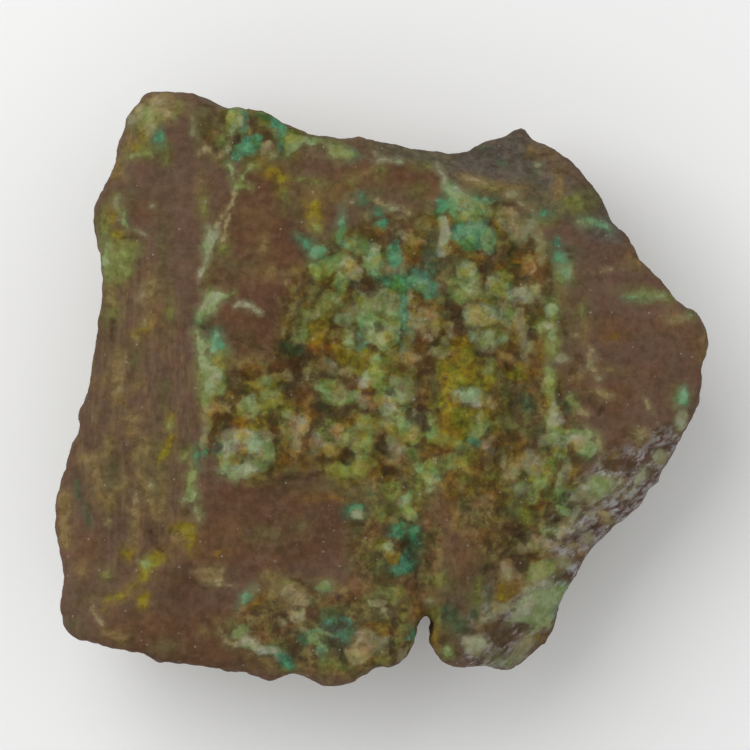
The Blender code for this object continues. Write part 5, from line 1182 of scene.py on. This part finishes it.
    def rock_relief(self, places: np.ndarray, growth: GrowthMap) -> np.ndarray:
        """Give the relief of the bare rock in mm.

        Args:
            places: Points of the stone in mm.
            growth: What lies where.

        Returns:
            Height over the smooth skin for each point.
        """
        def share(zone: Zone, edge: float) -> np.ndarray:
            """Give how much each point belongs to a zone, from 0 to 1."""
            return smooth_step(-edge, edge, growth.depth(zone, ZONES, 0.0))

        wavy = clouds(places, size=5.5, seed=3.0) + 0.4 * clouds(places, size=2.1, seed=4.0)
        stepped = np.round(wavy * self.terraces) / self.terraces
        ground = self.ground_height * (0.35 * wavy + 0.65 * stepped) + 0.09 * clouds(places, 1.1, 5.0)
        wide, fine = self.groove_heights
        along_strip = places * np.array([1.0, 0.16, 0.4])
        grooves = wide * clouds(along_strip, size=1.0, seed=6.0)
        grooves += fine * clouds(along_strip, size=0.5, seed=7.0)
        slabs = np.round(clouds(places, size=3.4, seed=12.0) * self.slab_steps) / self.slab_steps
        grains = self.crumb_height * crumbs(places, size=2.3, seed=8.0)
        grains += self.crumb_height * crumbs(places, size=1.1, seed=9.0) + self.slab_height * slabs
        relief = ground + grooves * share(Zone.STREAKY, 2.0) + (grains - 0.1) * share(Zone.RICH, 2.0)

        wide, fine = self.broken_heights
        broken = wide * crumbs(places * np.array([1.0, 1.0, 1.5]), size=5.0, seed=10.0)
        broken += fine * crumbs(places, size=2.0, seed=11.0)
        swell = sum(math.e ** -(((places[:, 0] - x) ** 2 + (places[:, 1] - y) ** 2) / reach ** 2)
                    for x, y, reach in self.swells)
        side = 1.0 - growth.shown
        return (relief * (1.0 - self.side_calm * side)
                + (broken - self.side_sink + self.swell * swell) * side)

    def mineral_relief(self, growth: GrowthMap) -> np.ndarray:
        """Give what the minerals stand proud of the rock and how deep the pits go.

        Args:
            growth: What lies where.

        Returns:
            Height over the bare rock for each point, in mm.
        """
        relief = np.zeros(len(growth.flat))
        for mineral, tint in TINTS.items():
            if tint.relief:
                depth = growth.planned(mineral, GROWTHS) * growth.shown - (1.0 - growth.shown)
                relief += self.growth_gain * tint.relief * smooth_step(*self.growth_edge, depth)
        return relief

    def place_minerals(self) -> None:
        """Write each mineral's and each zone's depth to an attribute of the same name."""
        places, normals = self.read("co"), self.read("normal")
        growth = GrowthMap(places, normals[:, 2])
        kinds = [(zone, ZONES) for zone in Zone] + [(mineral, GROWTHS) for mineral in Mineral]
        for seed, (kind, tables) in enumerate(kinds, start=20):
            layer = self.stone.data.attributes.new(kind.value, "FLOAT", "POINT")
            layer.data.foreach_set("value", growth.depth(kind, tables, float(seed)).astype(np.float32))


class NodeSheet:
    """Adds and wires the nodes of one tree."""

    def __init__(self, tree: bpy.types.NodeTree) -> None:
        """Start on a tree, emptied of its own nodes."""
        self.tree = tree
        tree.nodes.clear()

    def add(self, kind: str, inputs: dict | None = None, **settings: object) -> bpy.types.Node:
        """Add a node.

        Args:
            kind: Blender's name for the node type.
            inputs: What each input gets, by name or number: a socket to link, or a value.
            settings: The node's own settings.

        Returns:
            The node.
        """
        node = self.tree.nodes.new(kind)
        for name, value in settings.items():
            setattr(node, name, value)
        for key, value in (inputs or {}).items():
            if isinstance(value, Socket):
                self.tree.links.new(value, node.inputs[key])
            else:
                node.inputs[key].default_value = value
        return node

    def calc(self, operation: str, *values: object, clamp: bool = False) -> Socket:
        """Add a Math node and give its result."""
        node = self.add("ShaderNodeMath", dict(enumerate(values)), operation=operation, use_clamp=clamp)
        return node.outputs[0]

    def vector(self, operation: str, **inputs: object) -> Socket:
        """Add a Vector Math node, with inputs a, b or scale, and give its result."""
        places = {"a": 0, "b": 1, "scale": "Scale"}
        node = self.add("ShaderNodeVectorMath", {places[key]: value for key, value in inputs.items()},
                        operation=operation)
        return node.outputs[0]

    def blend(self, under: object, over: object, mask: object) -> Socket:
        """Lay one colour over another where the mask is 1, and give the result."""
        node = self.add("ShaderNodeMix", {0: mask, 6: under, 7: over}, data_type="RGBA")
        return node.outputs[2]

    def step(self, value: object, low: float, high: float, top: float = 1.0) -> Socket:
        """Rise smoothly from 0 below low to top above high, and give the result."""
        node = self.add("ShaderNodeMapRange", {0: value, 1: low, 2: high, 4: top},
                        interpolation_type="SMOOTHSTEP")
        return node.outputs[0]

    def cloud(self, place: Socket, size: float, detail: float = 2.0) -> bpy.types.Node:
        """Add noise whose lumps are about size mm across."""
        return self.add("ShaderNodeTexNoise", {"Vector": place, "Scale": 1.0 / size, "Detail": detail,
                                               "Roughness": 0.6})

    def attribute(self, name: str) -> Socket:
        """Read a number that is kept on the stone's points."""
        return self.add("ShaderNodeAttribute", attribute_name=name).outputs["Fac"]

    def channels(self, value: Socket) -> list[Socket]:
        """Part a vector or colour into its three numbers."""
        return list(self.add("ShaderNodeSeparateXYZ", {0: value}).outputs)

    def trio(self, place: Socket, size: float, detail: float) -> list[Socket]:
        """Give three unlike noise values between 0 and 1, in lumps about size mm across."""
        return self.channels(self.cloud(place, size, detail).outputs["Color"])

    def ramp(self, value: Socket, stops: tuple) -> Socket:
        """Turn a number into a colour.

        Args:
            value: The number, from 0 to 1.
            stops: Places from 0 to 1 and their colours.

        Returns:
            The colour.
        """
        node = self.add("ShaderNodeValToRGB", {0: value})
        elements = node.color_ramp.elements
        while len(elements) < len(stops):
            elements.new(0.5)
        for element, (place, colour) in zip(elements, stops):
            element.position = place
            element.color = (*colour, 1.0)
        return node.outputs[0]


RIM_STAIN = (0.066, 0.035, 0.008, 1.0)  # colour of the dark rim round a mineral
RIM_WIDTH = 0.8
CORE_DEPTHS = (-0.3, 1.3)  # between them a mineral grows lighter towards its middle
CORE_LIGHT = 0.16
GRAIN_CONTRAST = 0.9


def seam_group() -> bpy.types.NodeTree:
    """Make the node group that lays one mineral over the rock, with a soft edge, a stain and a dark rim.

    Returns:
        The group. It takes the colour below, the depth, the edge's noise, the tone of the grains,
        two colours, the softness and the stain's reach in mm, the cover and the strength of the
        rim, and gives the colour and the mask.
    """
    group = bpy.data.node_groups.new("mineral_seam", "ShaderNodeTree")
    sockets = (("Under", "Color"), ("Depth", "Float"), ("Ragged", "Float"), ("Tone", "Float"),
               ("Pale", "Color"), ("Deep", "Color"), ("Soft", "Float"), ("Halo", "Float"),
               ("Cover", "Float"), ("Rim", "Float"), ("Stain", "Float"))
    for name, kind in sockets:
        group.interface.new_socket(name=name, in_out="INPUT", socket_type=f"NodeSocket{kind}")
    for name, kind in (("Colour", "Color"), ("Mask", "Float")):
        group.interface.new_socket(name=name, in_out="OUTPUT", socket_type=f"NodeSocket{kind}")
    sheet = NodeSheet(group)
    given = sheet.add("NodeGroupInput").outputs
    depth = sheet.calc("ADD", given["Depth"], given["Ragged"])
    outside = sheet.calc("MULTIPLY", given["Soft"], -1.0)
    far_out = sheet.calc("SUBTRACT", outside, given["Halo"])

    def rise(low: Socket, high: Socket) -> Socket:
        """Rise smoothly from 0 to 1 between two depths."""
        return sheet.add("ShaderNodeMapRange", {0: depth, 1: low, 2: high},
                         interpolation_type="SMOOTHSTEP").outputs[0]

    core = sheet.calc("MULTIPLY", rise(outside, given["Soft"]), given["Cover"])
    stain = sheet.calc("MULTIPLY", rise(far_out, given["Soft"]), given["Stain"])
    near = rise(sheet.calc("SUBTRACT", outside, RIM_WIDTH), outside)
    stained = sheet.calc("MULTIPLY", near, given["Rim"])
    rimmed = sheet.blend(given["Under"], RIM_STAIN, stained)
    middle = sheet.step(depth, *CORE_DEPTHS, CORE_LIGHT)
    tone = sheet.calc("MULTIPLY_ADD", given["Tone"], GRAIN_CONTRAST, middle, clamp=True)
    grain = sheet.blend(given["Deep"], given["Pale"], tone)
    colour = sheet.blend(rimmed, grain, sheet.calc("MAXIMUM", core, stain))
    sheet.add("NodeGroupOutput", {"Colour": colour, "Mask": core})
    return group


@dataclass(frozen=True)
class RockFinish:
    """The stone's material: brown rock, five kinds of ground and the minerals over them.

    A pair that is called a strength is what holds on the plain rock, and what the crumbly centre
    adds to it.

    Attributes:
        rock: Stops of the plain brown rock, darkest first.
        reddish: Stops of the reddish rock.
        crumbly: Stops of the crumbly centre's ground.
        streaked: Stops of the striated strip.
        banded: Stops of the speckled band.
        ledge: Stops of the ledge along the top edge, darker than the rock: its own colour and painted shade.
        glint_colour: Colour of the painted glints, painted highlights where small crystals catch the light.
        dark_grain: Colour of the dark grains.
        pale_grain: Colour of the pale grains on the plain rock.
        golden_grain: Colour of the pale grains in the crumbly centre.
        thread: Colour of the thin threads between the crumbs.
        shade: Colour of the painted shade in the hollows, with the dirt that settles there.
        zone_tear: How far noise moves the zones' edges in all, in mm.
        tear: How far noise moves the minerals' edges in all, in mm.
        spread: How much wider the minerals are in the crumbly centre, in mm.
        smear: How much softer the minerals' edges are in the crumbly centre.
        halo: Strength of the minerals' faint stain.
        dark_level: Levels of noise between which the dark grains end.
        dark_strength: Strength of the dark grains.
        pale_level: Levels of noise between which the pale grains begin.
        pale_strength: Strength of the pale grains.
        cleaned: Strength of the grains that the waxy minerals lose, below zero.
        contrast: Strength of the painted light and shade that noise lays over the crumbly centre in place of
            its relief's shading.
        washes: Stains of the crumbly centre: what each multiplies the colour by, and how strongly.
        wash_from: Between these, towards +Y, the washes begin, in mm.
        drift: How far red, green and blue wander from place to place.
        drift_strength: Strength of that drift.
        dull: Roughness of the rock.
        waxy: Roughness of the minerals.
        waxy_relief: Minerals that stand prouder than this are waxy, in mm.
        grain_height: Height of the finest grain, in mm.
        glint_gap: Distance between the possible places of the painted glints, in mm.
        band_turn: Direction of the speckled band's streaks, in degrees.
        refraction: Index of refraction of the whole surface.
        gloss: Specular level of the whole surface.
    """

    rock: tuple = ((0.30, (0.094, 0.053, 0.031)), (0.5, (0.117, 0.067, 0.041)),
                   (0.72, (0.140, 0.082, 0.053)))
    reddish: tuple = ((0.34, (0.074, 0.033, 0.016)), (0.5, (0.097, 0.045, 0.021)),
                      (0.66, (0.122, 0.058, 0.028)))
    crumbly: tuple = ((0.34, (0.085, 0.050, 0.015)), (0.45, (0.135, 0.090, 0.026)),
                      (0.56, (0.175, 0.135, 0.037)), (0.68, (0.215, 0.190, 0.067)))
    streaked: tuple = ((0.34, (0.094, 0.056, 0.033)), (0.5, (0.124, 0.071, 0.042)),
                       (0.62, (0.145, 0.098, 0.045)), (0.76, (0.195, 0.145, 0.072)))
    banded: tuple = ((0.40, (0.079, 0.045, 0.044)), (0.46, (0.138, 0.100, 0.086)),
                     (0.52, (0.236, 0.209, 0.206)), (0.60, (0.362, 0.354, 0.346)))
    # The ledge's stops are darker than the rock's: its own colour and painted shade.
    ledge: tuple = ((0.34, (0.061, 0.047, 0.038)), (0.52, (0.093, 0.080, 0.062)),
                    (0.7, (0.138, 0.122, 0.087)))
    glint_colour: Triple = (0.42, 0.36, 0.32)
    dark_grain: Triple = (0.062, 0.034, 0.013)
    pale_grain: Triple = (0.170, 0.108, 0.066)
    golden_grain: Triple = (0.250, 0.215, 0.080)
    thread: Triple = (0.058, 0.031, 0.008)
    shade: Triple = (0.040, 0.024, 0.009)
    zone_tear: float = 4.0
    tear: float = 1.8
    spread: float = 0.42
    smear: float = 0.15
    halo: Pair = (0.4, -0.32)
    dark_level: Pair = (0.36, 0.48)
    dark_strength: Pair = (0.35, 0.2)
    pale_level: Pair = (0.53, 0.68)
    pale_strength: Pair = (0.3, -0.05)
    cleaned: Pair = (-0.72, 0.3)
    contrast: float = 0.55
    washes: tuple = (((1.02, 0.80, 0.32), 0.85), ((0.72, 1.02, 0.78), 0.5))
    wash_from: Pair = (-25.0, -15.0)
    drift: Triple = (0.8, 0.55, 0.8)
    drift_strength: Pair = (0.35, 0.65)
    dull: float = 0.82
    waxy: float = 0.52
    waxy_relief: float = 0.06
    grain_height: float = 0.1
    glint_gap: float = 0.8
    band_turn: float = 35.0
    refraction: float = 1.45
    gloss: float = 0.2

    def material(self) -> bpy.types.Material:
        """Make the material.

        Returns:
            The material.
        """
        made = bpy.data.materials.new("copper_stained_rock")
        made.use_nodes = True
        RockPaint(made.node_tree, self).paint()
        return made


class RockPaint(NodeSheet):
    """The layers of the stone's material, from the bare rock up.

    Attributes:
        finish: Colours and strengths of the layers.
        place: Object coordinates in mm.
        other: The same, moved, for noise that is unlike the first.
        tones: Six noise values between 0 and 1.
        crumbly: 1 in the crumbly centre, 0 elsewhere.
    """

    def __init__(self, tree: bpy.types.NodeTree, finish: RockFinish) -> None:
        """Start on a tree with what every layer reads."""
        super().__init__(tree)
        self.finish = finish
        spot = self.add("ShaderNodeTexCoord").outputs["Object"]
        self.place = self.vector("SCALE", a=spot, scale=1.0 / MM)
        self.other = self.vector("ADD", a=self.place, b=(31.0, 57.0, 83.0))
        self.tones = (self.trio(self.place, size=1.5, detail=3.0)
                      + self.trio(self.other, size=1.1, detail=2.0))
        self.crumbly = self.step(self.attribute(Zone.RICH.value), -2.0, 2.0)

    def paint(self) -> None:
        """Lay all the layers, and wire them to the shader."""
        finish = self.finish
        colour, polish = self.grown(self.threaded(self.ground()))
        colour = self.grained_and_shaded(self.washed(colour), polish)
        # Painted shade: the hollows of the sculpted relief are darkened towards the shade colour.
        hollow = self.calc("MULTIPLY", self.attribute("hollow"), 0.4)
        colour = self.blend(colour, (*finish.shade, 1.0), hollow)
        # Painted highlights: small bright glints laid into the base colour, with lower roughness on them.
        glint = self.painted_glints()
        colour = self.blend(colour, (*finish.glint_colour, 1.0), self.calc("MULTIPLY", glint, 0.4))

        roughness = self.add("ShaderNodeMix", {0: polish, 2: finish.dull, 3: finish.waxy}).outputs[0]
        roughness = self.calc("MULTIPLY_ADD", self.tones[3], 0.2, self.calc("SUBTRACT", roughness, 0.1))
        roughness = self.calc("MULTIPLY_ADD", glint, -0.35, roughness, clamp=True)
        finest = self.cloud(self.place, size=0.28, detail=2.0).outputs[0]
        fine = self.calc("MULTIPLY_ADD", finest, 0.5, self.tones[4])
        bump = self.add("ShaderNodeBump", {"Strength": 0.7, "Distance": finish.grain_height * MM,
                                           "Height": fine})
        shader = self.add("ShaderNodeBsdfPrincipled", {
            "Base Color": colour, "Roughness": roughness, "Normal": bump.outputs[0],
            "IOR": finish.refraction, "Specular IOR Level": finish.gloss})
        self.add("ShaderNodeOutputMaterial", {"Surface": shader.outputs[0]})

    def varied(self, strength: Pair) -> Socket:
        """Give a strength that is another one in the crumbly centre."""
        plain, more = strength
        return self.calc("MULTIPLY_ADD", self.crumbly, more, plain)

    def ground(self) -> Socket:
        """Paint the rock without its minerals.

        Returns:
            The colour.
        """
        finish = self.finish
        broad = self.cloud(self.place, size=7.0, detail=3.0).outputs[0]
        mottle = self.calc("MULTIPLY_ADD", self.tones[0], 0.6, self.calc("MULTIPLY", broad, 0.4))
        strip = self.vector("MULTIPLY", a=self.place, b=(1.0, 0.2, 0.5))
        turn = (0.0, 0.0, -math.radians(finish.band_turn))
        turned = self.add("ShaderNodeMapping", {0: self.place, 2: turn}).outputs[0]
        band = self.vector("MULTIPLY", a=turned, b=(0.55, 1.0, 1.0))
        grounds = (
            (Zone.RED, finish.reddish, self.tones[1], 2.4, 0.9),
            (Zone.STREAKY, finish.streaked, self.cloud(strip, size=0.8, detail=3.0).outputs[0], 2.4, 0.8),
            (Zone.LEDGE, finish.ledge, self.tones[1], 1.4, 0.85),
            (Zone.RICH, finish.crumbly, self.cloud(self.place, size=2.0, detail=1.6).outputs[0], 1.6, 0.9),
            (Zone.SPECKLED, finish.banded, self.cloud(band, size=0.95, detail=3.0).outputs[0], 1.2, 0.9),
        )
        colour = self.ramp(mottle, finish.rock)
        for zone, stops, tone, edge, cover in grounds:
            inwards = self.calc("SUBTRACT", self.attribute(zone.value), finish.zone_tear / 2.0)
            wander = self.calc("MULTIPLY_ADD", self.tones[2], finish.zone_tear, inwards)
            colour = self.blend(colour, self.ramp(tone, stops), self.step(wander, -edge, edge, cover))
        return colour

    def threaded(self, colour: Socket) -> Socket:
        """Draw thin dark threads between the crumbs of the centre.

        Args:
            colour: What has been painted so far.

        Returns:
            The colour.
        """
        gap = self.calc("SUBTRACT", self.cloud(self.other, size=2.2, detail=2.5).outputs[0], 0.5)
        line = self.calc("SUBTRACT", 1.0, self.step(self.calc("ABSOLUTE", gap), 0.0, 0.03))
        threads = self.calc("MULTIPLY", self.crumbly, line)
        return self.blend(colour, (*self.finish.thread, 1.0), self.calc("MULTIPLY", threads, 0.5))

    def grown(self, colour: Socket) -> tuple[Socket, Socket]:
        """Lay the minerals over the ground.

        Args:
            colour: What has been painted so far.

        Returns:
            The colour, and where the waxy minerals lie.
        """
        finish = self.finish
        edges = self.trio(self.place, size=1.7, detail=3.0) + self.trio(self.other, size=1.2, detail=3.0)
        growing = self.varied((-finish.tear / 2.0, finish.spread))
        ragged = [self.calc("MULTIPLY_ADD", edge, finish.tear, growing) for edge in edges]
        toned = [self.step(tone, 0.34, 0.66) for tone in self.tones]
        softer = self.varied((1.0, finish.smear))
        rim = self.calc("MULTIPLY", self.crumbly, self.step(self.tones[5], 0.38, 0.56, 0.65))
        stain = self.varied(finish.halo)
        group = seam_group()
        polish = 0.0
        for number, (mineral, tint) in enumerate(TINTS.items()):
            given = {"Under": colour, "Depth": self.attribute(mineral.value), "Stain": stain,
                     "Ragged": ragged[number % 6], "Tone": toned[(number * 5 + 1) % 6],
                     "Pale": (*tint.pale, 1.0), "Deep": (*tint.deep, 1.0),
                     "Soft": self.calc("MULTIPLY", tint.soft, softer), "Halo": tint.halo,
                     "Cover": tint.cover, "Rim": self.calc("MULTIPLY", rim, tint.rim)}
            seam = self.add("ShaderNodeGroup", given, node_tree=group)
            colour = seam.outputs["Colour"]
            if tint.relief > finish.waxy_relief:
                polish = self.calc("MAXIMUM", polish, seam.outputs["Mask"])
        return colour, polish

    def washed(self, colour: Socket) -> Socket:
        """Stain parts of the crumbly centre.

        Args:
            colour: What has been painted so far.

        Returns:
            The colour.
        """
        inside = self.step(self.channels(self.place)[1], *self.finish.wash_from)
        inside = self.calc("MULTIPLY", self.crumbly, inside)
        for tone, (wash, amount) in zip(self.trio(self.other, size=3.6, detail=1.5), self.finish.washes):
            share = self.calc("MULTIPLY", self.step(tone, 0.47, 0.6), self.calc("MULTIPLY", inside, amount))
            colour = self.blend(colour, self.vector("MULTIPLY", a=colour, b=wash), share)
        return colour

    def grained_and_shaded(self, colour: Socket, polish: Socket) -> Socket:
        """Break the paint up with dark and pale grains, let its hue drift, and paint light and shade over the
        crumbly centre.

        Args:
            colour: What has been painted so far.
            polish: 1 on the waxy minerals, which stay cleaner.

        Returns:
            The colour.
        """
        finish = self.finish
        grains = self.cloud(self.place, size=1.05, detail=3.0).outputs[0]
        broad = self.calc("MULTIPLY_ADD", self.cloud(self.other, size=4.5, detail=1.0).outputs[0], 0.3, -0.15)
        level = self.calc("SUBTRACT", grains, broad)
        bare = self.calc("ADD", self.calc("MULTIPLY", polish, self.varied(finish.cleaned)), 1.0)
        dark = self.calc("SUBTRACT", 1.0, self.step(level, *finish.dark_level))
        strength = self.calc("MULTIPLY", bare, self.varied(finish.dark_strength))
        colour = self.blend(colour, (*finish.dark_grain, 1.0), self.calc("MULTIPLY", dark, strength))
        light = self.step(level, *finish.pale_level)
        strength = self.calc("MULTIPLY", bare, self.varied(finish.pale_strength))
        pale = self.blend((*finish.pale_grain, 1.0), (*finish.golden_grain, 1.0), self.crumbly)
        colour = self.blend(colour, pale, self.calc("MULTIPLY", light, strength))

        hue = self.cloud(self.other, size=3.1, detail=2.0).outputs["Color"]
        wander = self.vector("SUBTRACT", a=hue, b=(0.5, 0.5, 0.5))
        wander = self.vector("MULTIPLY", a=wander, b=finish.drift)
        wander = self.vector("SCALE", a=wander, scale=self.varied(finish.drift_strength))
        # Painted light and shade: noise brightens and darkens the crumbly centre as its relief would under
        # the lamp.
        painted_relief_light = self.step(self.cloud(self.other, size=1.9, detail=3.0).outputs[0], 0.3, 0.7)
        painted_relief_light = self.calc("MULTIPLY_ADD", painted_relief_light, finish.contrast, -finish.contrast / 1.45)
        painted_relief_light = self.calc("MULTIPLY", painted_relief_light, self.calc("MULTIPLY", self.crumbly, bare))
        wander = self.vector("ADD", a=wander, b=painted_relief_light)
        return self.vector("MULTIPLY", a=colour, b=self.vector("ADD", a=wander, b=(1.0, 1.0, 1.0)))

    def painted_glints(self) -> Socket:
        """Scatter the painted glints: bright specks painted where small crystals catch the light.

        Returns:
            1 on them and 0 elsewhere.
        """
        dots = self.add("ShaderNodeTexVoronoi",
                        {"Vector": self.place, "Scale": 1.0 / self.finish.glint_gap})
        chosen = self.step(self.channels(dots.outputs["Color"])[0], 0.93, 0.97)
        near = self.calc("SUBTRACT", 1.0, self.step(dots.outputs["Distance"], 0.05, 0.3))
        return self.calc("MULTIPLY", chosen, near)


@dataclass
class Studio:
    """A plain pale floor, soft light and a camera that looks straight down.

    Attributes:
        frame_width: Width of what the camera sees at the stone's rim, in mm.
        middle: Where the camera looks, in mm.
        rim_height: Height at which the frame has that width, in mm.
        distance: From the rim up to the camera, in mm.
        floor_half: Half the side of the floor, in mm.
        floor_gap: How far the floor lies below the stone, in mm.
        floor_colour: Linear colour of the floor.
        sensor: Width of the camera's sensor, in mm.
        key_power: Power of the lamp, in watts.
        key_size: Side of the lamp, in mm.
        key_place: Where the lamp hangs, in mm.
        sky: Strength of the white sky.
    """

    frame_width: float = 112.5
    middle: Pair = (-1.1, 1.8)
    rim_height: float = 32.0
    distance: float = 900.0
    floor_half: float = 4000.0
    floor_gap: float = 0.05
    floor_colour: Triple = (0.93, 0.93, 0.93)
    sensor: float = 36.0
    key_power: float = 3.7
    key_size: float = 700.0
    key_place: Triple = (-380.0, 320.0, 720.0)
    sky: float = 0.64

    def build(self) -> None:
        """Set up the floor, the light, the world and the camera."""
        self.floor()
        self.light()
        self.camera()
        bpy.context.scene.view_settings.view_transform = "Standard"

    def floor(self) -> None:
        """Lay a plain floor just under the stone."""
        bpy.ops.object.select_all(action="DESELECT")
        bpy.ops.mesh.primitive_plane_add(size=2.0 * self.floor_half * MM,
                                         location=(0.0, 0.0, -self.floor_gap * MM))
        floor = bpy.context.object
        floor.name = "pale_floor"
        paint = bpy.data.materials.new("pale_floor")
        paint.use_nodes = True
        shader = paint.node_tree.nodes["Principled BSDF"]
        shader.inputs["Base Color"].default_value = (*self.floor_colour, 1.0)
        shader.inputs["Roughness"].default_value = 0.9
        floor.data.materials.append(paint)

    def light(self) -> None:
        """Hang one wide soft lamp, and light the rest from a white sky."""
        lamp = bpy.data.lights.new("soft_box", "AREA")
        lamp.size = self.key_size * MM
        lamp.energy = self.key_power
        holder = bpy.data.objects.new("soft_box", lamp)
        holder.location = Vector(self.key_place) * MM
        aim = Vector((0.0, 0.0, self.rim_height * MM)) - holder.location
        holder.rotation_euler = aim.to_track_quat("-Z", "Y").to_euler()
        bpy.context.scene.collection.objects.link(holder)
        world = bpy.data.worlds.new("white_sky")
        world.use_nodes = True
        world.node_tree.nodes["Background"].inputs["Color"].default_value = (1.0, 1.0, 1.0, 1.0)
        world.node_tree.nodes["Background"].inputs["Strength"].default_value = self.sky
        bpy.context.scene.world = world

    def camera(self) -> None:
        """Put the camera over the stone, looking straight down with +Y at the top of the frame."""
        lens = bpy.data.cameras.new("camera")
        lens.sensor_width = self.sensor
        lens.lens = self.sensor * self.distance / self.frame_width
        lens.clip_end = 100.0
        holder = bpy.data.objects.new("camera", lens)
        holder.location = Vector((*self.middle, self.rim_height + self.distance)) * MM
        bpy.context.scene.collection.objects.link(holder)
        bpy.context.scene.camera = holder


def main() -> None:
    """Build the stone, dress it and light it."""
    logging.basicConfig(level=logging.INFO)
    stone = StoneBody().build()
    log.info("%s: %d triangles", stone.name, sum(len(face.vertices) - 2 for face in stone.data.polygons))
    stone.data.materials.clear()
    stone.data.materials.append(RockFinish().material())
    log.info("%s: dressed in %s", stone.name, stone.data.materials[0].name)
    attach(stone, "root")
    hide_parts(SOLID_NODE)
    Studio().build()
    log.info("studio: floor, soft box, sky and camera")


if __name__ == "__main__":
    main()
